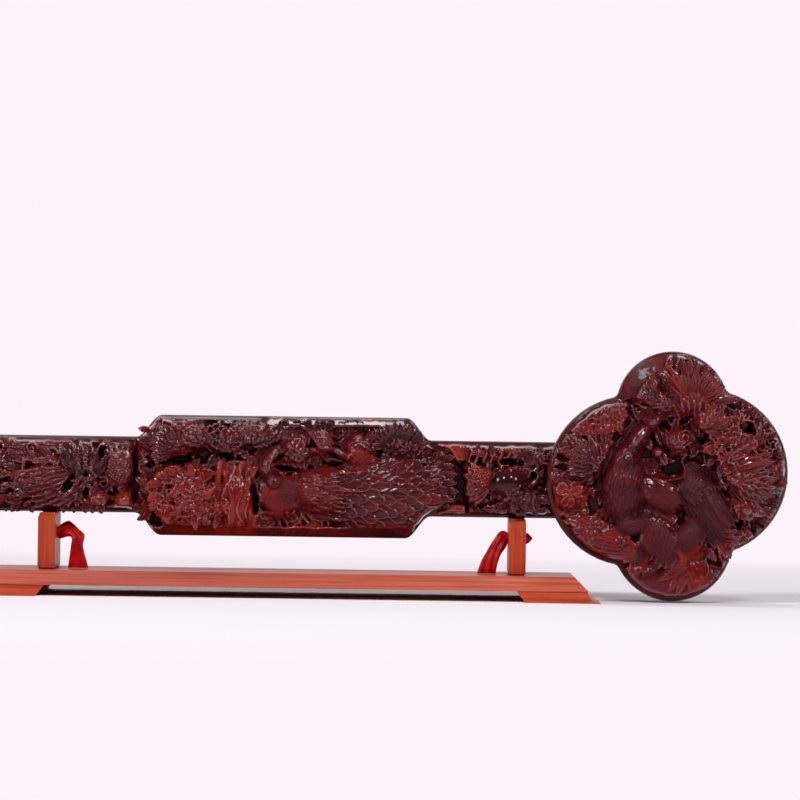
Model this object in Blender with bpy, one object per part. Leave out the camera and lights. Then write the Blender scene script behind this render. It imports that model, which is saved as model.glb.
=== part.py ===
"""A carved rosewood ruyi scepter on its two-post wooden stand.

The scepter stands on its long edge, carved face towards -Y and head towards +X. Its flat back leans on the
rear prongs of the posts and its lower edge stands on their seats, so it lifts straight up. Metres, +Z up.
"""

import math

import bpy
from mathutils import Vector

# Clearance between pieces that touch
GAP = 0.0003

# Stand
BOARD_LENGTH = 0.363
BOARD_DEPTH = 0.080
BOARD_THICKNESS = 0.0085
BOARD_SLOPE = 0.0078
FOOT_HEIGHT = 0.006
FOOT_LENGTH = 0.042
FOOT_FLARE = 0.0075
FOOT_INNER_SLANT = 0.0048
FLARE_STEPS = 4
POST_SPACING = 0.280
POST_WIDTH = 0.0101
POST_DEPTH = 0.042
POST_HEIGHT = 0.0335
POST_CHAMFER = 0.0012
FRONT_STEP_DEPTH = 0.008
FRONT_STEP_DROP = 0.0015
PRONG_DEPTH = 0.0105
PRONG_HEIGHT = 0.019
PRONG_TAPER = 0.0025
TENON_WIDTH = 0.0062
TENON_DEPTH = 0.026
TENON_SHORT = 0.0012
RIBBON_HOLE_HEIGHT = 0.0215
RIBBON_HOLE_WIDTH = 0.0032
RIBBON_HOLE_TALL = 0.0070
FOOT_DOWEL_RADIUS = 0.002
FOOT_DOWEL_LENGTH = 0.008
FOOT_DOWEL_SPACING = 0.040

# Ribbons
RIBBON_THICKNESS = 0.0009
RIBBON_FOLDED = 0.0017
RIBBON_IN_HOLE = 0.0052
RIBBON_WIDTH = 0.0085
RIBBON_END_WIDTH = 0.0112
KNOT_SIZE = 0.0056
KNOT_TAPER = 0.6
RIBBON_PASSES = 3

# Scepter rail
HANDLE_WIDTH = 0.0455
RAIL_THICKNESS = 0.014
RAIL_EDGE = 0.002
RAIL_PAST_CENTRE = 0.024
END_STEPS = 8
SHOULDER_STEPS = 8
PLAQUE_LENGTH = 0.176
PLAQUE_HEIGHT = 0.072
SHOULDER_LENGTH = 0.0145

# Middle plaque
PLAQUE_FIELD = 0.0095
PLAQUE_BEVEL = 0.0062
PLAQUE_EDGE = 0.0016
PLUME_REACH = 0.0155
PLUME_HEIGHT = 0.040
PLAQUE_COLUMNS = 80
PLAQUE_ROWS = 30

# Handle carvings
CARVING_FIELD = 0.0035
CARVING_EDGE = 0.0016
CARVING_BEVEL = 0.0026
TAIL_CARVING_SHORT = 0.0037
HEAD_CARVING_SHORT = 0.0232
CARVING_COLUMNS = 34
CARVING_ROWS = 14
HOLLOW_FLOOR = 0.0016
FORM_ROUND = 0.6
UNDER_PLATE_HEIGHT = 0.0076

# Head and tail plates
HEAD_FROM_PLAQUE = 0.141
HEAD_CENTRE = PLAQUE_LENGTH / 2 + HEAD_FROM_PLAQUE
HEAD_WIDTH = 0.143
HEAD_HEIGHT = 0.148
TAIL_FROM_PLAQUE = 0.144
TAIL_CENTRE = PLAQUE_LENGTH / 2 + TAIL_FROM_PLAQUE
TAIL_WIDTH = 0.098
TAIL_HEIGHT = 0.104
PLATE_THICKNESS = 0.010
PLATE_EDGE = 0.0022
RIM_WIDTH = 0.0018
HEAD_FIELD = 0.0048
HEAD_EDGE = 0.0020
HEAD_BEVEL = 0.0048
NECK_LENGTH = 0.064
NECK_HEIGHT = 0.040
NECK_DEPTH = 0.0081
LOBE_STEPS = 24
HEAD_RINGS = 22
TAIL_RINGS = 10

# Dowels through rail, block and plate
DOWEL_RADIUS = 0.003
DOWEL_SPACING = 0.028
DOWEL_IN_RAIL = 0.010
DOWEL_IN_PLATE = 0.0065
DOWEL_IN_PLAQUE = 0.005
PLAQUE_DOWEL_INSET = 0.028
DOWEL_SIDES = 20

# Corners and tips of the four lobes, as shares of the plate's half width and half height, from its centre.
# The carver cut them a little unevenly.
LOBE_CORNERS = ((-0.433, 0.642), (0.475, 0.690), (0.532, -0.587), (-0.411, -0.709))
LOBE_TIPS = ((0.057, 1.010), (0.993, 0.033), (0.014, -0.993), (-1.007, -0.095))
HEAD_RISE = 0.0031

# Heights
BOARD_BOTTOM = FOOT_HEIGHT + GAP
BOARD_TOP = BOARD_BOTTOM + BOARD_THICKNESS
SEAT = BOARD_TOP + POST_HEIGHT
AXIS_HEIGHT = SEAT + GAP + HANDLE_WIDTH / 2

# Depths, from the middle of the rail
RAIL_BACK = RAIL_THICKNESS / 2
CARVING_BACK = -(RAIL_THICKNESS / 2 + GAP)
PLATE_BACK = CARVING_BACK - NECK_DEPTH - GAP
PLATE_FRONT = PLATE_BACK - PLATE_THICKNESS
POST_BACK = RAIL_BACK + GAP + PRONG_DEPTH
POST_FRONT = POST_BACK - POST_DEPTH
BOARD_MIDDLE = (POST_FRONT + POST_BACK) / 2

# Raised forms of each carving: place along X and Z, half length, half width, turn in degrees, height over the
# carving's back. X is from the middle of the piece's own field, Z from the handle's middle line.
HEAD_FORMS = {
    "phoenix_body": (-0.027, -0.003, 0.023, 0.014, 86, 0.0180),
    "phoenix_shoulder": (-0.027, 0.013, 0.013, 0.009, 58, 0.0175),
    "phoenix_neck": (-0.019, 0.026, 0.013, 0.006, 52, 0.0175),
    "phoenix_crest": (-0.010, 0.036, 0.008, 0.006, 30, 0.0165),
    "far_wing": (0.023, -0.014, 0.029, 0.015, -50, 0.0170),
    "near_wing": (-0.004, -0.036, 0.026, 0.014, -58, 0.0145),
    "left_shoulder": (-0.021, -0.025, 0.0115, 0.0085, 12, 0.0180),
    "right_shoulder": (0.013, -0.032, 0.014, 0.011, 62, 0.0175),
    "back_feathers": (-0.003, -0.008, 0.017, 0.013, -30, 0.0140),
    "peony": (0.038, 0.022, 0.022, 0.021, 0, 0.0172),
    "peony_leaves": (0.024, 0.040, 0.017, 0.0085, 60, 0.0160),
    "top_leaves": (0.013, 0.057, 0.027, 0.020, -50, 0.0158),
    "top_dome": (-0.016, 0.064, 0.022, 0.013, 35, 0.0080),
    "upper_leaves": (-0.011, 0.050, 0.017, 0.010, -20, 0.0140),
    "left_florets": (-0.040, 0.034, 0.023, 0.017, 45, 0.0110),
    "left_bloom": (-0.058, -0.008, 0.014, 0.011, 0, 0.0150),
    "left_spray": (-0.047, 0.013, 0.019, 0.014, 30, 0.0150),
    "flutes": (-0.038, -0.034, 0.028, 0.015, -25, 0.0095),
    "right_spray": (0.046, 0.000, 0.022, 0.0160, 10, 0.0178),
    "right_leaves": (0.053, 0.016, 0.021, 0.012, 100, 0.0160),
    "right_bud": (0.046, -0.018, 0.012, 0.010, -30, 0.0145),
    "round_flower": (0.006, 0.025, 0.012, 0.009, 20, 0.0150),
    "bottom_lobe": (-0.002, -0.058, 0.034, 0.017, 5, 0.0080),
    "lower_leaves": (0.036, -0.037, 0.016, 0.011, 20, 0.0125),
}
HEAD_HOLLOWS = {
    "under_the_wing": (0.001, 0.008, 0.0085, 0.0055, 4),
    "left_gap": (-0.042, -0.008, 0.014, 0.0034, 98),
    "peony_heart": (0.0455, 0.0335, 0.0052, 0.0052, 0),
    "behind_the_neck": (-0.025, 0.035, 0.0065, 0.0034, 60),
}
TAIL_FORMS = {
    "bloom": (0.001, -0.001, 0.026, 0.026, 0, 0.0140),
    "left_petals": (-0.019, -0.001, 0.010, 0.022, 0, 0.0118),
    "upper_petals": (-0.003, 0.018, 0.023, 0.011, 0, 0.0120),
    "lower_petals": (0.004, -0.017, 0.026, 0.011, 0, 0.0132),
    "upper_leaf": (0.006, 0.030, 0.018, 0.014, 60, 0.0118),
    "left_leaf": (-0.031, 0.002, 0.018, 0.014, 10, 0.0112),
    "right_leaf": (0.027, -0.007, 0.017, 0.013, -15, 0.0132),
    "lower_leaf": (-0.005, -0.030, 0.020, 0.014, 20, 0.0122),
}
PLAQUE_FORMS = {
    "left_peony": (-0.060, -0.012, 0.025, 0.024, 0, 0.0200),
    "lower_leaves": (-0.050, -0.023, 0.013, 0.010, 0, 0.0185),
    "top_left_leaves": (-0.064, 0.023, 0.026, 0.014, 3, 0.0190),
    "rock": (-0.028, -0.013, 0.014, 0.023, 0, 0.0170),
    "top_middle_leaves": (-0.037, 0.029, 0.011, 0.009, 0, 0.0195),
    "top_branch": (-0.024, 0.023, 0.030, 0.012, 0, 0.0170),
    "phoenix_breast": (-0.0015, -0.010, 0.0155, 0.0145, 0, 0.0170),
    "phoenix_neck": (-0.008, 0.0065, 0.013, 0.008, 60, 0.0195),
    "small_bird": (0.008, 0.016, 0.012, 0.011, 0, 0.0170),
    "fan": (0.022, 0.020, 0.012, 0.012, 70, 0.0180),
    "red_bird": (0.046, 0.015, 0.012, 0.013, 0, 0.0180),
    "wing": (0.025, -0.008, 0.024, 0.0165, -5, 0.0198),
    "tail": (0.062, -0.008, 0.047, 0.028, 0, 0.0175),
    "tail_end": (0.088, -0.003, 0.020, 0.019, 0, 0.0140),
    "tail_corner": (0.090, -0.019, 0.017, 0.011, 20, 0.0190),
    "right_spray": (0.072, 0.024, 0.022, 0.016, -15, 0.0185),
}
PLAQUE_HOLLOWS = {
    "over_the_peony": (-0.061, 0.009, 0.010, 0.0030, 8),
    "over_the_rock": (-0.030, 0.0115, 0.008, 0.0030, -8),
    "before_the_breast": (-0.017, -0.012, 0.013, 0.0028, 96),
    "over_the_wing": (0.002, 0.005, 0.0075, 0.0028, -6),
}
LEFT_FORMS = {
    "curls": (-0.152, 0.004, 0.036, 0.025, 0, 0.0142),
    "leaf_lobes": (-0.118, 0.004, 0.015, 0.022, 10, 0.0152),
    "bird_breast": (-0.098, 0.004, 0.014, 0.020, -12, 0.0162),
    "bud": (-0.094, -0.015, 0.012, 0.010, 0, 0.0160),
    "ribbed_leaf": (-0.110, -0.015, 0.012, 0.010, 10, 0.0142),
    "far_leaves": (-0.184, 0.002, 0.022, 0.025, 0, 0.0122),
    "ground": (-0.140, 0.000, 0.060, 0.028, 0, 0.0100),
}
RIGHT_FORMS = {
    "scales": (0.119, -0.002, 0.015, 0.020, 0, 0.0145),
    "bird_body": (0.136, -0.004, 0.014, 0.017, 15, 0.0158),
    "top_knots": (0.127, 0.017, 0.024, 0.010, 0, 0.0145),
    "lower_leaves": (0.148, -0.013, 0.016, 0.012, 0, 0.0130),
    "volute": (0.156, 0.013, 0.014, 0.012, 0, 0.0108),
    "ground": (0.138, 0.000, 0.040, 0.028, 0, 0.0088),
    "bare_ends": (0.098, 0.000, 0.016, 0.026, 0, 0.0080),
}
LEFT_HOLLOWS = {
    "along_the_curls": (-0.158, 0.0045, 0.012, 0.0026, 2),
    "beside_the_bird": (-0.110, 0.008, 0.010, 0.0026, 76),
}
RIGHT_HOLLOWS = {
    "past_the_plumes": (0.1055, -0.004, 0.015, 0.0044, 93),
    "over_the_bird": (0.138, 0.0105, 0.009, 0.0026, -4),
}

# The course of each ribbon from its knot: X out from the post towards the middle of the stand, Y towards the
# front, Z up from the ribbon hole.
LEFT_RIBBON_COURSE = (
    (-0.0085, 0.0000, 0.0000),
    (-0.0050, 0.0000, 0.0000),
    (0.0000, 0.0000, 0.0000),
    (0.0062, -0.0005, 0.0010),
    (0.0125, -0.0020, 0.0046),
    (0.0182, -0.0034, 0.0024),
    (0.0196, -0.0044, -0.0040),
    (0.0184, -0.0050, -0.0115),
    (0.0178, -0.0056, -0.0208),
)
RIGHT_RIBBON_COURSE = (
    (-0.0088, 0.0000, 0.0000),
    (-0.0050, 0.0000, 0.0000),
    (0.0000, 0.0000, 0.0000),
    (0.0065, -0.0004, -0.0008),
    (0.0115, -0.0016, -0.0030),
    (0.0152, -0.0030, -0.0078),
    (0.0176, -0.0040, -0.0140),
    (0.0186, -0.0046, -0.0208),
)


def clear_scene():
    for old in list(bpy.data.objects):
        bpy.data.objects.remove(old, do_unlink=True)


def make_material(name, colour, roughness, metallic=0.0):
    material = bpy.data.materials.new(name)
    material.use_nodes = True
    shader = material.node_tree.nodes["Principled BSDF"]
    shader.inputs["Base Color"].default_value = (*colour, 1.0)
    shader.inputs["Roughness"].default_value = roughness
    shader.inputs["Metallic"].default_value = metallic
    material.diffuse_color = (*colour, 1.0)
    return material


def add_empty(name, location, parent=None):
    empty = bpy.data.objects.new(name, None)
    empty.location = location
    empty.parent = parent
    bpy.context.collection.objects.link(empty)
    return empty


def add_object(name, points, faces, parent, material=None, location=(0, 0, 0), smooth=False):
    mesh = bpy.data.meshes.new(name)
    mesh.from_pydata([tuple(p) for p in points], [], faces)
    mesh.update()
    obj = bpy.data.objects.new(name, mesh)
    obj.location = location
    obj.parent = parent
    bpy.context.collection.objects.link(obj)
    if material:
        mesh.materials.append(material)
    if smooth:
        mesh.shade_smooth()
        mesh.set_sharp_from_angle(angle=math.radians(40))
    return obj


def add_bevel(obj, width, segments=2, angle=50):
    bevel = obj.modifiers.new("edges", "BEVEL")
    bevel.width = width
    bevel.segments = segments
    bevel.limit_method = "ANGLE"
    bevel.angle_limit = math.radians(angle)
    return bevel


def add_cut(obj, cutter):
    cut = obj.modifiers.new("cut by " + cutter.name, "BOOLEAN")
    cut.operation = "DIFFERENCE"
    cut.solver = "EXACT"
    cut.object = cutter


def hide_helper(obj):
    obj.hide_render = True
    obj.display_type = "WIRE"
    return obj


def smooth_step(share):
    share = min(1.0, max(0.0, share))
    return share * share * (3 - 2 * share)


def prism_along_y(outline, back, front):
    """A closed prism from an (x, z) outline that runs clockwise seen from the front, -Y."""
    count = len(outline)
    points = [(x, back, z) for x, z in outline] + [(x, front, z) for x, z in outline]
    faces = [list(range(count)), list(range(2 * count - 1, count - 1, -1))]
    for i in range(count):
        j = (i + 1) % count
        faces.append((i, i + count, j + count, j))
    return points, faces


def box_shape(low, high):
    points = [(x, y, z) for x in (low[0], high[0]) for y in (low[1], high[1]) for z in (low[2], high[2])]
    faces = [(0, 1, 3, 2), (4, 6, 7, 5), (0, 4, 5, 1), (2, 3, 7, 6), (0, 2, 6, 4), (1, 5, 7, 3)]
    return points, faces


def rod_shape(radius, start, end, sides=DOWEL_SIDES):
    """A closed rod between two points."""
    start, end = Vector(start), Vector(end)
    turn = (end - start).to_track_quat("Z", "Y").to_matrix()
    rings = []
    for middle in (start, end):
        for k in range(sides):
            angle = 2 * math.pi * k / sides
            spoke = turn @ Vector((math.cos(angle), math.sin(angle), 0))
            rings.append(middle + radius * spoke)
    faces = [list(range(sides - 1, -1, -1)), list(range(sides, 2 * sides))]
    for k in range(sides):
        n = (k + 1) % sides
        faces.append((k, n, n + sides, k + sides))
    return rings, faces


def join_shapes(shapes):
    points, faces = [], []
    for more_points, more_faces in shapes:
        base = len(points)
        points += list(more_points)
        faces += [[base + i for i in face] for face in more_faces]
    return points, faces


def within(x, z, oval):
    """How far inside an oval a point lies: 1 at its middle, 0 on its edge, below 0 outside."""
    angle = math.radians(oval[4])
    along = (x - oval[0]) * math.cos(angle) + (z - oval[1]) * math.sin(angle)
    across = (z - oval[1]) * math.cos(angle) - (x - oval[0]) * math.sin(angle)
    return 1 - (along / oval[2]) ** 2 - (across / oval[3]) ** 2


def carved_height(forms, hollows, field, x, z):
    """The height of the carving at a point: the tallest form over the field, or the floor of a hollow."""
    height = field
    for form in forms.values():
        height = max(height, form[5] * max(0.0, within(x, z, form)) ** FORM_ROUND)
    for hollow in hollows.values():
        share = smooth_step(1.6 * within(x, z, hollow))
        height += (min(height, HOLLOW_FLOOR) - height) * share
    return height


def strip_relief(name, start, end, low, high, height, columns, rows, parent, material):
    """A carved strip: a flat back, and a front that follows height(x, z) between low(x) and high(x)."""
    points, faces = [], []
    for i in range(columns + 1):
        x = start + (end - start) * i / columns
        for k in range(rows + 1):
            z = low(x) + (high(x) - low(x)) * k / rows
            points.append((x, CARVING_BACK - height(x, z), z))
    back = len(points)
    for i in range(columns + 1):
        x = start + (end - start) * i / columns
        points.append((x, CARVING_BACK, low(x)))
        points.append((x, CARVING_BACK, high(x)))
    row = rows + 1
    for i in range(columns):
        for k in range(rows):
            a = i * row + k
            faces.append((a, a + row, a + row + 1, a + 1))
        b = back + 2 * i
        faces.append((b, b + 1, b + 3, b + 2))
        faces.append((i * row, b, b + 2, (i + 1) * row))
        faces.append((i * row + rows, (i + 1) * row + rows, b + 3, b + 1))
    last = back + 2 * columns
    faces.append([k for k in range(row)] + [back + 1, back])
    faces.append([columns * row + k for k in range(rows, -1, -1)] + [last, last + 1])
    return add_object(name, points, faces, parent, material, smooth=True)


def arc_through(first, middle, last, steps):
    """Points of the circular arc from first through middle, without last."""
    ax, az = first
    bx, bz = middle
    cx, cz = last
    d = 2 * (ax * (bz - cz) + bx * (cz - az) + cx * (az - bz))
    a2, b2, c2 = ax * ax + az * az, bx * bx + bz * bz, cx * cx + cz * cz
    ox = (a2 * (bz - cz) + b2 * (cz - az) + c2 * (az - bz)) / d
    oz = (a2 * (cx - bx) + b2 * (ax - cx) + c2 * (bx - ax)) / d
    radius = math.hypot(ax - ox, az - oz)
    begin = math.atan2(az - oz, ax - ox)
    sweep = (math.atan2(cz - oz, cx - ox) - begin) % (2 * math.pi) - 2 * math.pi
    turns = [begin + sweep * k / steps for k in range(steps)]
    return [(ox + radius * math.cos(turn), oz + radius * math.sin(turn)) for turn in turns]


def lobed_outline(width, height):
    """The four-lobed outline, clockwise seen from the front, about its own centre."""
    corners = [(x * width / 2, z * height / 2) for x, z in LOBE_CORNERS]
    tips = [(x * width / 2, z * height / 2) for x, z in LOBE_TIPS]
    outline = []
    for i in range(4):
        outline += arc_through(corners[i], tips[i], corners[(i + 1) % 4], LOBE_STEPS)
    return outline


def inset(outline, distance):
    shares = [1 - distance / math.hypot(x, z) for x, z in outline]
    return [(x * share, z * share) for (x, z), share in zip(outline, shares)]


def plate_relief(name, outline, centre, forms, hollows, rings, parent, material):
    """A carved relief on a lobed plate: rings of points from the centre out to the outline."""
    back = PLATE_FRONT - GAP
    count = len(outline)
    cx, cz = centre
    lift = carved_height(forms, hollows, HEAD_FIELD, 0, cz)
    points = [(cx, back - lift, cz)]
    for ring in range(1, rings + 1):
        share = ring / rings
        for x, z in outline:
            edge = (1 - share) * math.hypot(x, z)
            full = carved_height(forms, hollows, HEAD_FIELD, x * share, cz + z * share)
            lift = HEAD_EDGE + (full - HEAD_EDGE) * smooth_step(edge / HEAD_BEVEL)
            points.append((cx + x * share, back - lift, cz + z * share))
    faces = []
    for k in range(count):
        n = (k + 1) % count
        faces.append((0, 1 + n, 1 + k))
        for ring in range(rings - 1):
            a = 1 + ring * count
            faces.append((a + k, a + n, a + count + n, a + count + k))
    outer = 1 + (rings - 1) * count
    rear = len(points)
    points += [(cx + x, back, cz + z) for x, z in outline]
    for k in range(count):
        n = (k + 1) % count
        faces.append((outer + k, outer + n, rear + n, rear + k))
    faces.append([rear + k for k in range(count)])
    return add_object(name, points, faces, parent, material, smooth=True)


def rail_half_width(x):
    widened = smooth_step((PLAQUE_LENGTH / 2 - abs(x)) / SHOULDER_LENGTH)
    return HANDLE_WIDTH / 2 + (PLAQUE_HEIGHT - HANDLE_WIDTH) / 2 * widened


def rail_end_width(x, start, end):
    """The rail's half width with its two ends rounded off."""
    radius = HANDLE_WIDTH / 2
    past = max(start + radius - x, x - (end - radius))
    if past <= 0:
        return rail_half_width(x)
    return math.sqrt(max(radius**2 - past**2, 0))


def make_rail(parent, material, cutter):
    start = -(TAIL_CENTRE + RAIL_PAST_CENTRE)
    end = HEAD_CENTRE + RAIL_PAST_CENTRE
    radius = HANDLE_WIDTH / 2
    quarter = [radius * (1 - math.cos(math.pi / 2 * k / END_STEPS)) for k in range(1, END_STEPS + 1)]
    reach = PLAQUE_LENGTH / 2
    shoulder = [reach - SHOULDER_LENGTH * k / SHOULDER_STEPS for k in range(SHOULDER_STEPS + 1)]
    left, right = [start + x for x in quarter], [end - x for x in quarter[::-1]]
    xs = left + [-x for x in shoulder] + shoulder[::-1] + right
    top = [(x, rail_end_width(x, start, end)) for x in xs]
    bottom = [(x, -z) for x, z in reversed(top)]
    outline = [(start, 0)] + top + [(end, 0)] + bottom
    points, faces = prism_along_y(outline, RAIL_BACK, -RAIL_BACK)
    rail = add_object("handle_rail", points, faces, parent, material, smooth=True)
    add_bevel(rail, RAIL_EDGE)
    add_cut(rail, cutter)
    return rail


def plaque_top(x):
    """Half height of the middle plaque, which runs out over the right handle as a round end of plumes."""
    if x <= PLAQUE_LENGTH / 2 - SHOULDER_LENGTH:
        return rail_half_width(x) - GAP
    share = (x - PLAQUE_LENGTH / 2 + SHOULDER_LENGTH) / (PLUME_REACH + SHOULDER_LENGTH)
    full = PLUME_HEIGHT / 2 + (PLAQUE_HEIGHT - PLUME_HEIGHT) / 2 * (1 - smooth_step(share * 1.9))
    return full * math.sqrt(max(1 - share**4, 0.03))


def plaque_lift(x, z):
    reach = PLAQUE_LENGTH / 2
    edge = min(x + reach, reach + PLUME_REACH - x, plaque_top(x) - abs(z))
    bevel = min(1.0, max(0.0, edge / PLAQUE_BEVEL))
    full = carved_height(PLAQUE_FORMS, PLAQUE_HOLLOWS, PLAQUE_FIELD, x, z)
    return PLAQUE_EDGE + bevel * (full - PLAQUE_EDGE)


def make_plaque(parent, material, cutter):
    start = -PLAQUE_LENGTH / 2
    end = PLAQUE_LENGTH / 2 + PLUME_REACH
    plaque = strip_relief(
        "middle_plaque",
        start,
        end,
        lambda x: -plaque_top(x),
        plaque_top,
        plaque_lift,
        PLAQUE_COLUMNS,
        PLAQUE_ROWS,
        parent,
        material,
    )
    add_cut(plaque, cutter)
    return plaque


def make_handle_carving(name, start, end, forms, hollows, covered_end, parent, material):
    """A carved strip of the handle. It stays under the plate at its covered end."""
    half = HANDLE_WIDTH / 2 - RAIL_EDGE

    def lift(x, z):
        edge = min(x - start, end - x, half - abs(z))
        full = carved_height(forms, hollows, CARVING_FIELD, x, z)
        full = CARVING_EDGE + (full - CARVING_EDGE) * smooth_step(edge / CARVING_BEVEL)
        room = covered_end + PLATE_EDGE
        near_plate = smooth_step((abs(x) - (room - 2 * CARVING_FIELD)) / CARVING_FIELD)
        return full + (min(full, UNDER_PLATE_HEIGHT) - full) * near_plate

    return strip_relief(
        name,
        start,
        end,
        lambda x: -half,
        lambda x: half,
        lift,
        CARVING_COLUMNS,
        CARVING_ROWS,
        parent,
        material,
    )


def make_plate(name, outline, centre, parent, material, cutter):
    placed = [(centre[0] + x, centre[1] + z) for x, z in outline]
    points, faces = prism_along_y(placed, PLATE_BACK, PLATE_FRONT)
    plate = add_object(name, points, faces, parent, material, smooth=True)
    add_bevel(plate, PLATE_EDGE)
    add_cut(plate, cutter)
    return plate


def make_neck_block(name, centre_x, parent, material, cutter):
    steps = 4 * LOBE_STEPS
    outline = [
        (
            centre_x + NECK_LENGTH / 2 * math.cos(-2 * math.pi * k / steps),
            NECK_HEIGHT / 2 * math.sin(-2 * math.pi * k / steps),
        )
        for k in range(steps)
    ]
    points, faces = prism_along_y(outline, CARVING_BACK, PLATE_BACK + GAP)
    block = add_object(name, points, faces, parent, material, smooth=True)
    add_cut(block, cutter)
    return block


def dowel_places():
    """Name, X and front end of each dowel that runs along Y."""
    plate_end = PLATE_BACK - DOWEL_IN_PLATE
    plaque_end = CARVING_BACK - DOWEL_IN_PLAQUE
    half = DOWEL_SPACING / 2
    wide = PLAQUE_LENGTH / 2 - PLAQUE_DOWEL_INSET
    return (
        ("head_dowel_inner", HEAD_CENTRE - half, plate_end),
        ("head_dowel_outer", HEAD_CENTRE + half, plate_end),
        ("tail_dowel_inner", -TAIL_CENTRE + half, plate_end),
        ("tail_dowel_outer", -TAIL_CENTRE - half, plate_end),
        ("plaque_dowel_left", -wide, plaque_end),
        ("plaque_dowel_right", wide, plaque_end),
    )


def make_scepter(parent, carved, polished, dowel_wood):
    back_end = -RAIL_BACK + DOWEL_IN_RAIL
    holes, places = [], dowel_places()
    for name, x, front_end in places:
        holes.append(rod_shape(DOWEL_RADIUS + GAP, (x, back_end + GAP, 0), (x, front_end - GAP, 0)))
    cutter = hide_helper(add_object("dowel_holes", *join_shapes(holes), parent))
    make_rail(parent, polished, cutter)
    make_plaque(parent, carved, cutter)
    make_handle_carving(
        "right_handle_carving",
        PLAQUE_LENGTH / 2 + PLUME_REACH + GAP,
        HEAD_CENTRE - NECK_LENGTH / 2 - HEAD_CARVING_SHORT,
        RIGHT_FORMS,
        RIGHT_HOLLOWS,
        HEAD_CENTRE - HEAD_WIDTH / 2,
        parent,
        carved,
    )
    make_handle_carving(
        "left_handle_carving",
        -(TAIL_CENTRE - NECK_LENGTH / 2 - TAIL_CARVING_SHORT),
        -PLAQUE_LENGTH / 2 - GAP,
        LEFT_FORMS,
        LEFT_HOLLOWS,
        TAIL_CENTRE - TAIL_WIDTH / 2,
        parent,
        carved,
    )
    head, tail = lobed_outline(HEAD_WIDTH, HEAD_HEIGHT), lobed_outline(TAIL_WIDTH, TAIL_HEIGHT)
    head_at, tail_at = (HEAD_CENTRE, HEAD_RISE), (-TAIL_CENTRE, 0.0)
    make_plate("head_plate", head, head_at, parent, polished, cutter)
    make_plate("tail_plate", tail, tail_at, parent, polished, cutter)
    carving = inset(head, RIM_WIDTH)
    plate_relief("head_carving", carving, head_at, HEAD_FORMS, HEAD_HOLLOWS, HEAD_RINGS, parent, carved)
    carving = inset(tail, RIM_WIDTH)
    plate_relief("tail_carving", carving, tail_at, TAIL_FORMS, {}, TAIL_RINGS, parent, carved)
    make_neck_block("head_neck_block", HEAD_CENTRE, parent, polished, cutter)
    make_neck_block("tail_neck_block", -TAIL_CENTRE, parent, polished, cutter)
    for name, x, front_end in places:
        points, faces = rod_shape(DOWEL_RADIUS, (0, back_end, 0), (0, front_end, 0))
        add_object(name, points, faces, parent, dowel_wood, (x, 0, 0), smooth=True)


def make_board(parent, material, cutter):
    low = (-BOARD_LENGTH / 2, -BOARD_DEPTH / 2)
    ring = [(low[0], low[1]), (-low[0], low[1]), (-low[0], -low[1]), (low[0], -low[1])]
    shrink = ((0, 0), (0, BOARD_THICKNESS - BOARD_SLOPE), (BOARD_SLOPE, BOARD_THICKNESS))
    points, faces = [], []
    for inward, up in shrink:
        for x, y in ring:
            points.append((x - math.copysign(inward, x), y - math.copysign(inward, y), up))
    for level in range(2):
        for k in range(4):
            a, b = level * 4 + k, level * 4 + (k + 1) % 4
            faces.append((a, b, b + 4, a + 4))
    faces += [(3, 2, 1, 0), (8, 9, 10, 11)]
    board = add_object("base_board", points, faces, parent, material, (0, BOARD_MIDDLE, BOARD_BOTTOM))
    add_cut(board, cutter)
    return board


def make_foot(side, parent, material, cutter):
    """A foot block with a hollow flare on its three outer sides. side is 1 at the right, -1 at the left."""
    points, faces = [], []
    for level in range(FLARE_STEPS + 1):
        share = level / FLARE_STEPS
        spread = FOOT_FLARE * (1 - math.sqrt(1 - (1 - share) ** 2))
        outer = BOARD_LENGTH / 2 + spread
        inner = BOARD_LENGTH / 2 - FOOT_LENGTH + FOOT_INNER_SLANT * (1 - share)
        half = BOARD_DEPTH / 2 + spread
        z = FOOT_HEIGHT * share
        ring = [(inner, -half), (outer, -half), (outer, half), (inner, half)]
        ring = ring if side > 0 else [(-x, y) for x, y in reversed(ring)]
        points += [(x, y, z) for x, y in ring]
    for level in range(FLARE_STEPS):
        for k in range(4):
            a, b = level * 4 + k, level * 4 + (k + 1) % 4
            faces.append((a, b, b + 4, a + 4))
    top = 4 * FLARE_STEPS
    faces += [(3, 2, 1, 0), (top, top + 1, top + 2, top + 3)]
    name = "foot_right" if side > 0 else "foot_left"
    foot = add_object(name, points, faces, parent, material, (0, BOARD_MIDDLE, 0))
    add_cut(foot, cutter)
    return foot


def foot_dowel_places():
    start = FOOT_HEIGHT + GAP / 2 - FOOT_DOWEL_LENGTH / 2
    x = BOARD_LENGTH / 2 - FOOT_LENGTH / 2
    for side, side_name in ((-1, "left"), (1, "right")):
        for end, end_name in ((-1, "front"), (1, "back")):
            place = (side * x, BOARD_MIDDLE + end * FOOT_DOWEL_SPACING / 2, start)
            yield f"foot_dowel_{side_name}_{end_name}", place


def post_profile():
    """The post's side view as (y, z), anticlockwise seen from +X, from the middle of its foot."""
    low = BOARD_TOP + GAP
    seat_front = POST_FRONT + FRONT_STEP_DEPTH
    seat_back = RAIL_BACK + GAP
    prong_top = SEAT + PRONG_HEIGHT
    return [
        (POST_FRONT, low),
        (POST_BACK, low),
        (POST_BACK, SEAT),
        (POST_BACK - PRONG_TAPER, prong_top),
        (seat_back, prong_top),
        (seat_back, SEAT),
        (seat_front, SEAT),
        (seat_front, SEAT - FRONT_STEP_DROP),
        (POST_FRONT, SEAT - FRONT_STEP_DROP),
    ]


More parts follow.
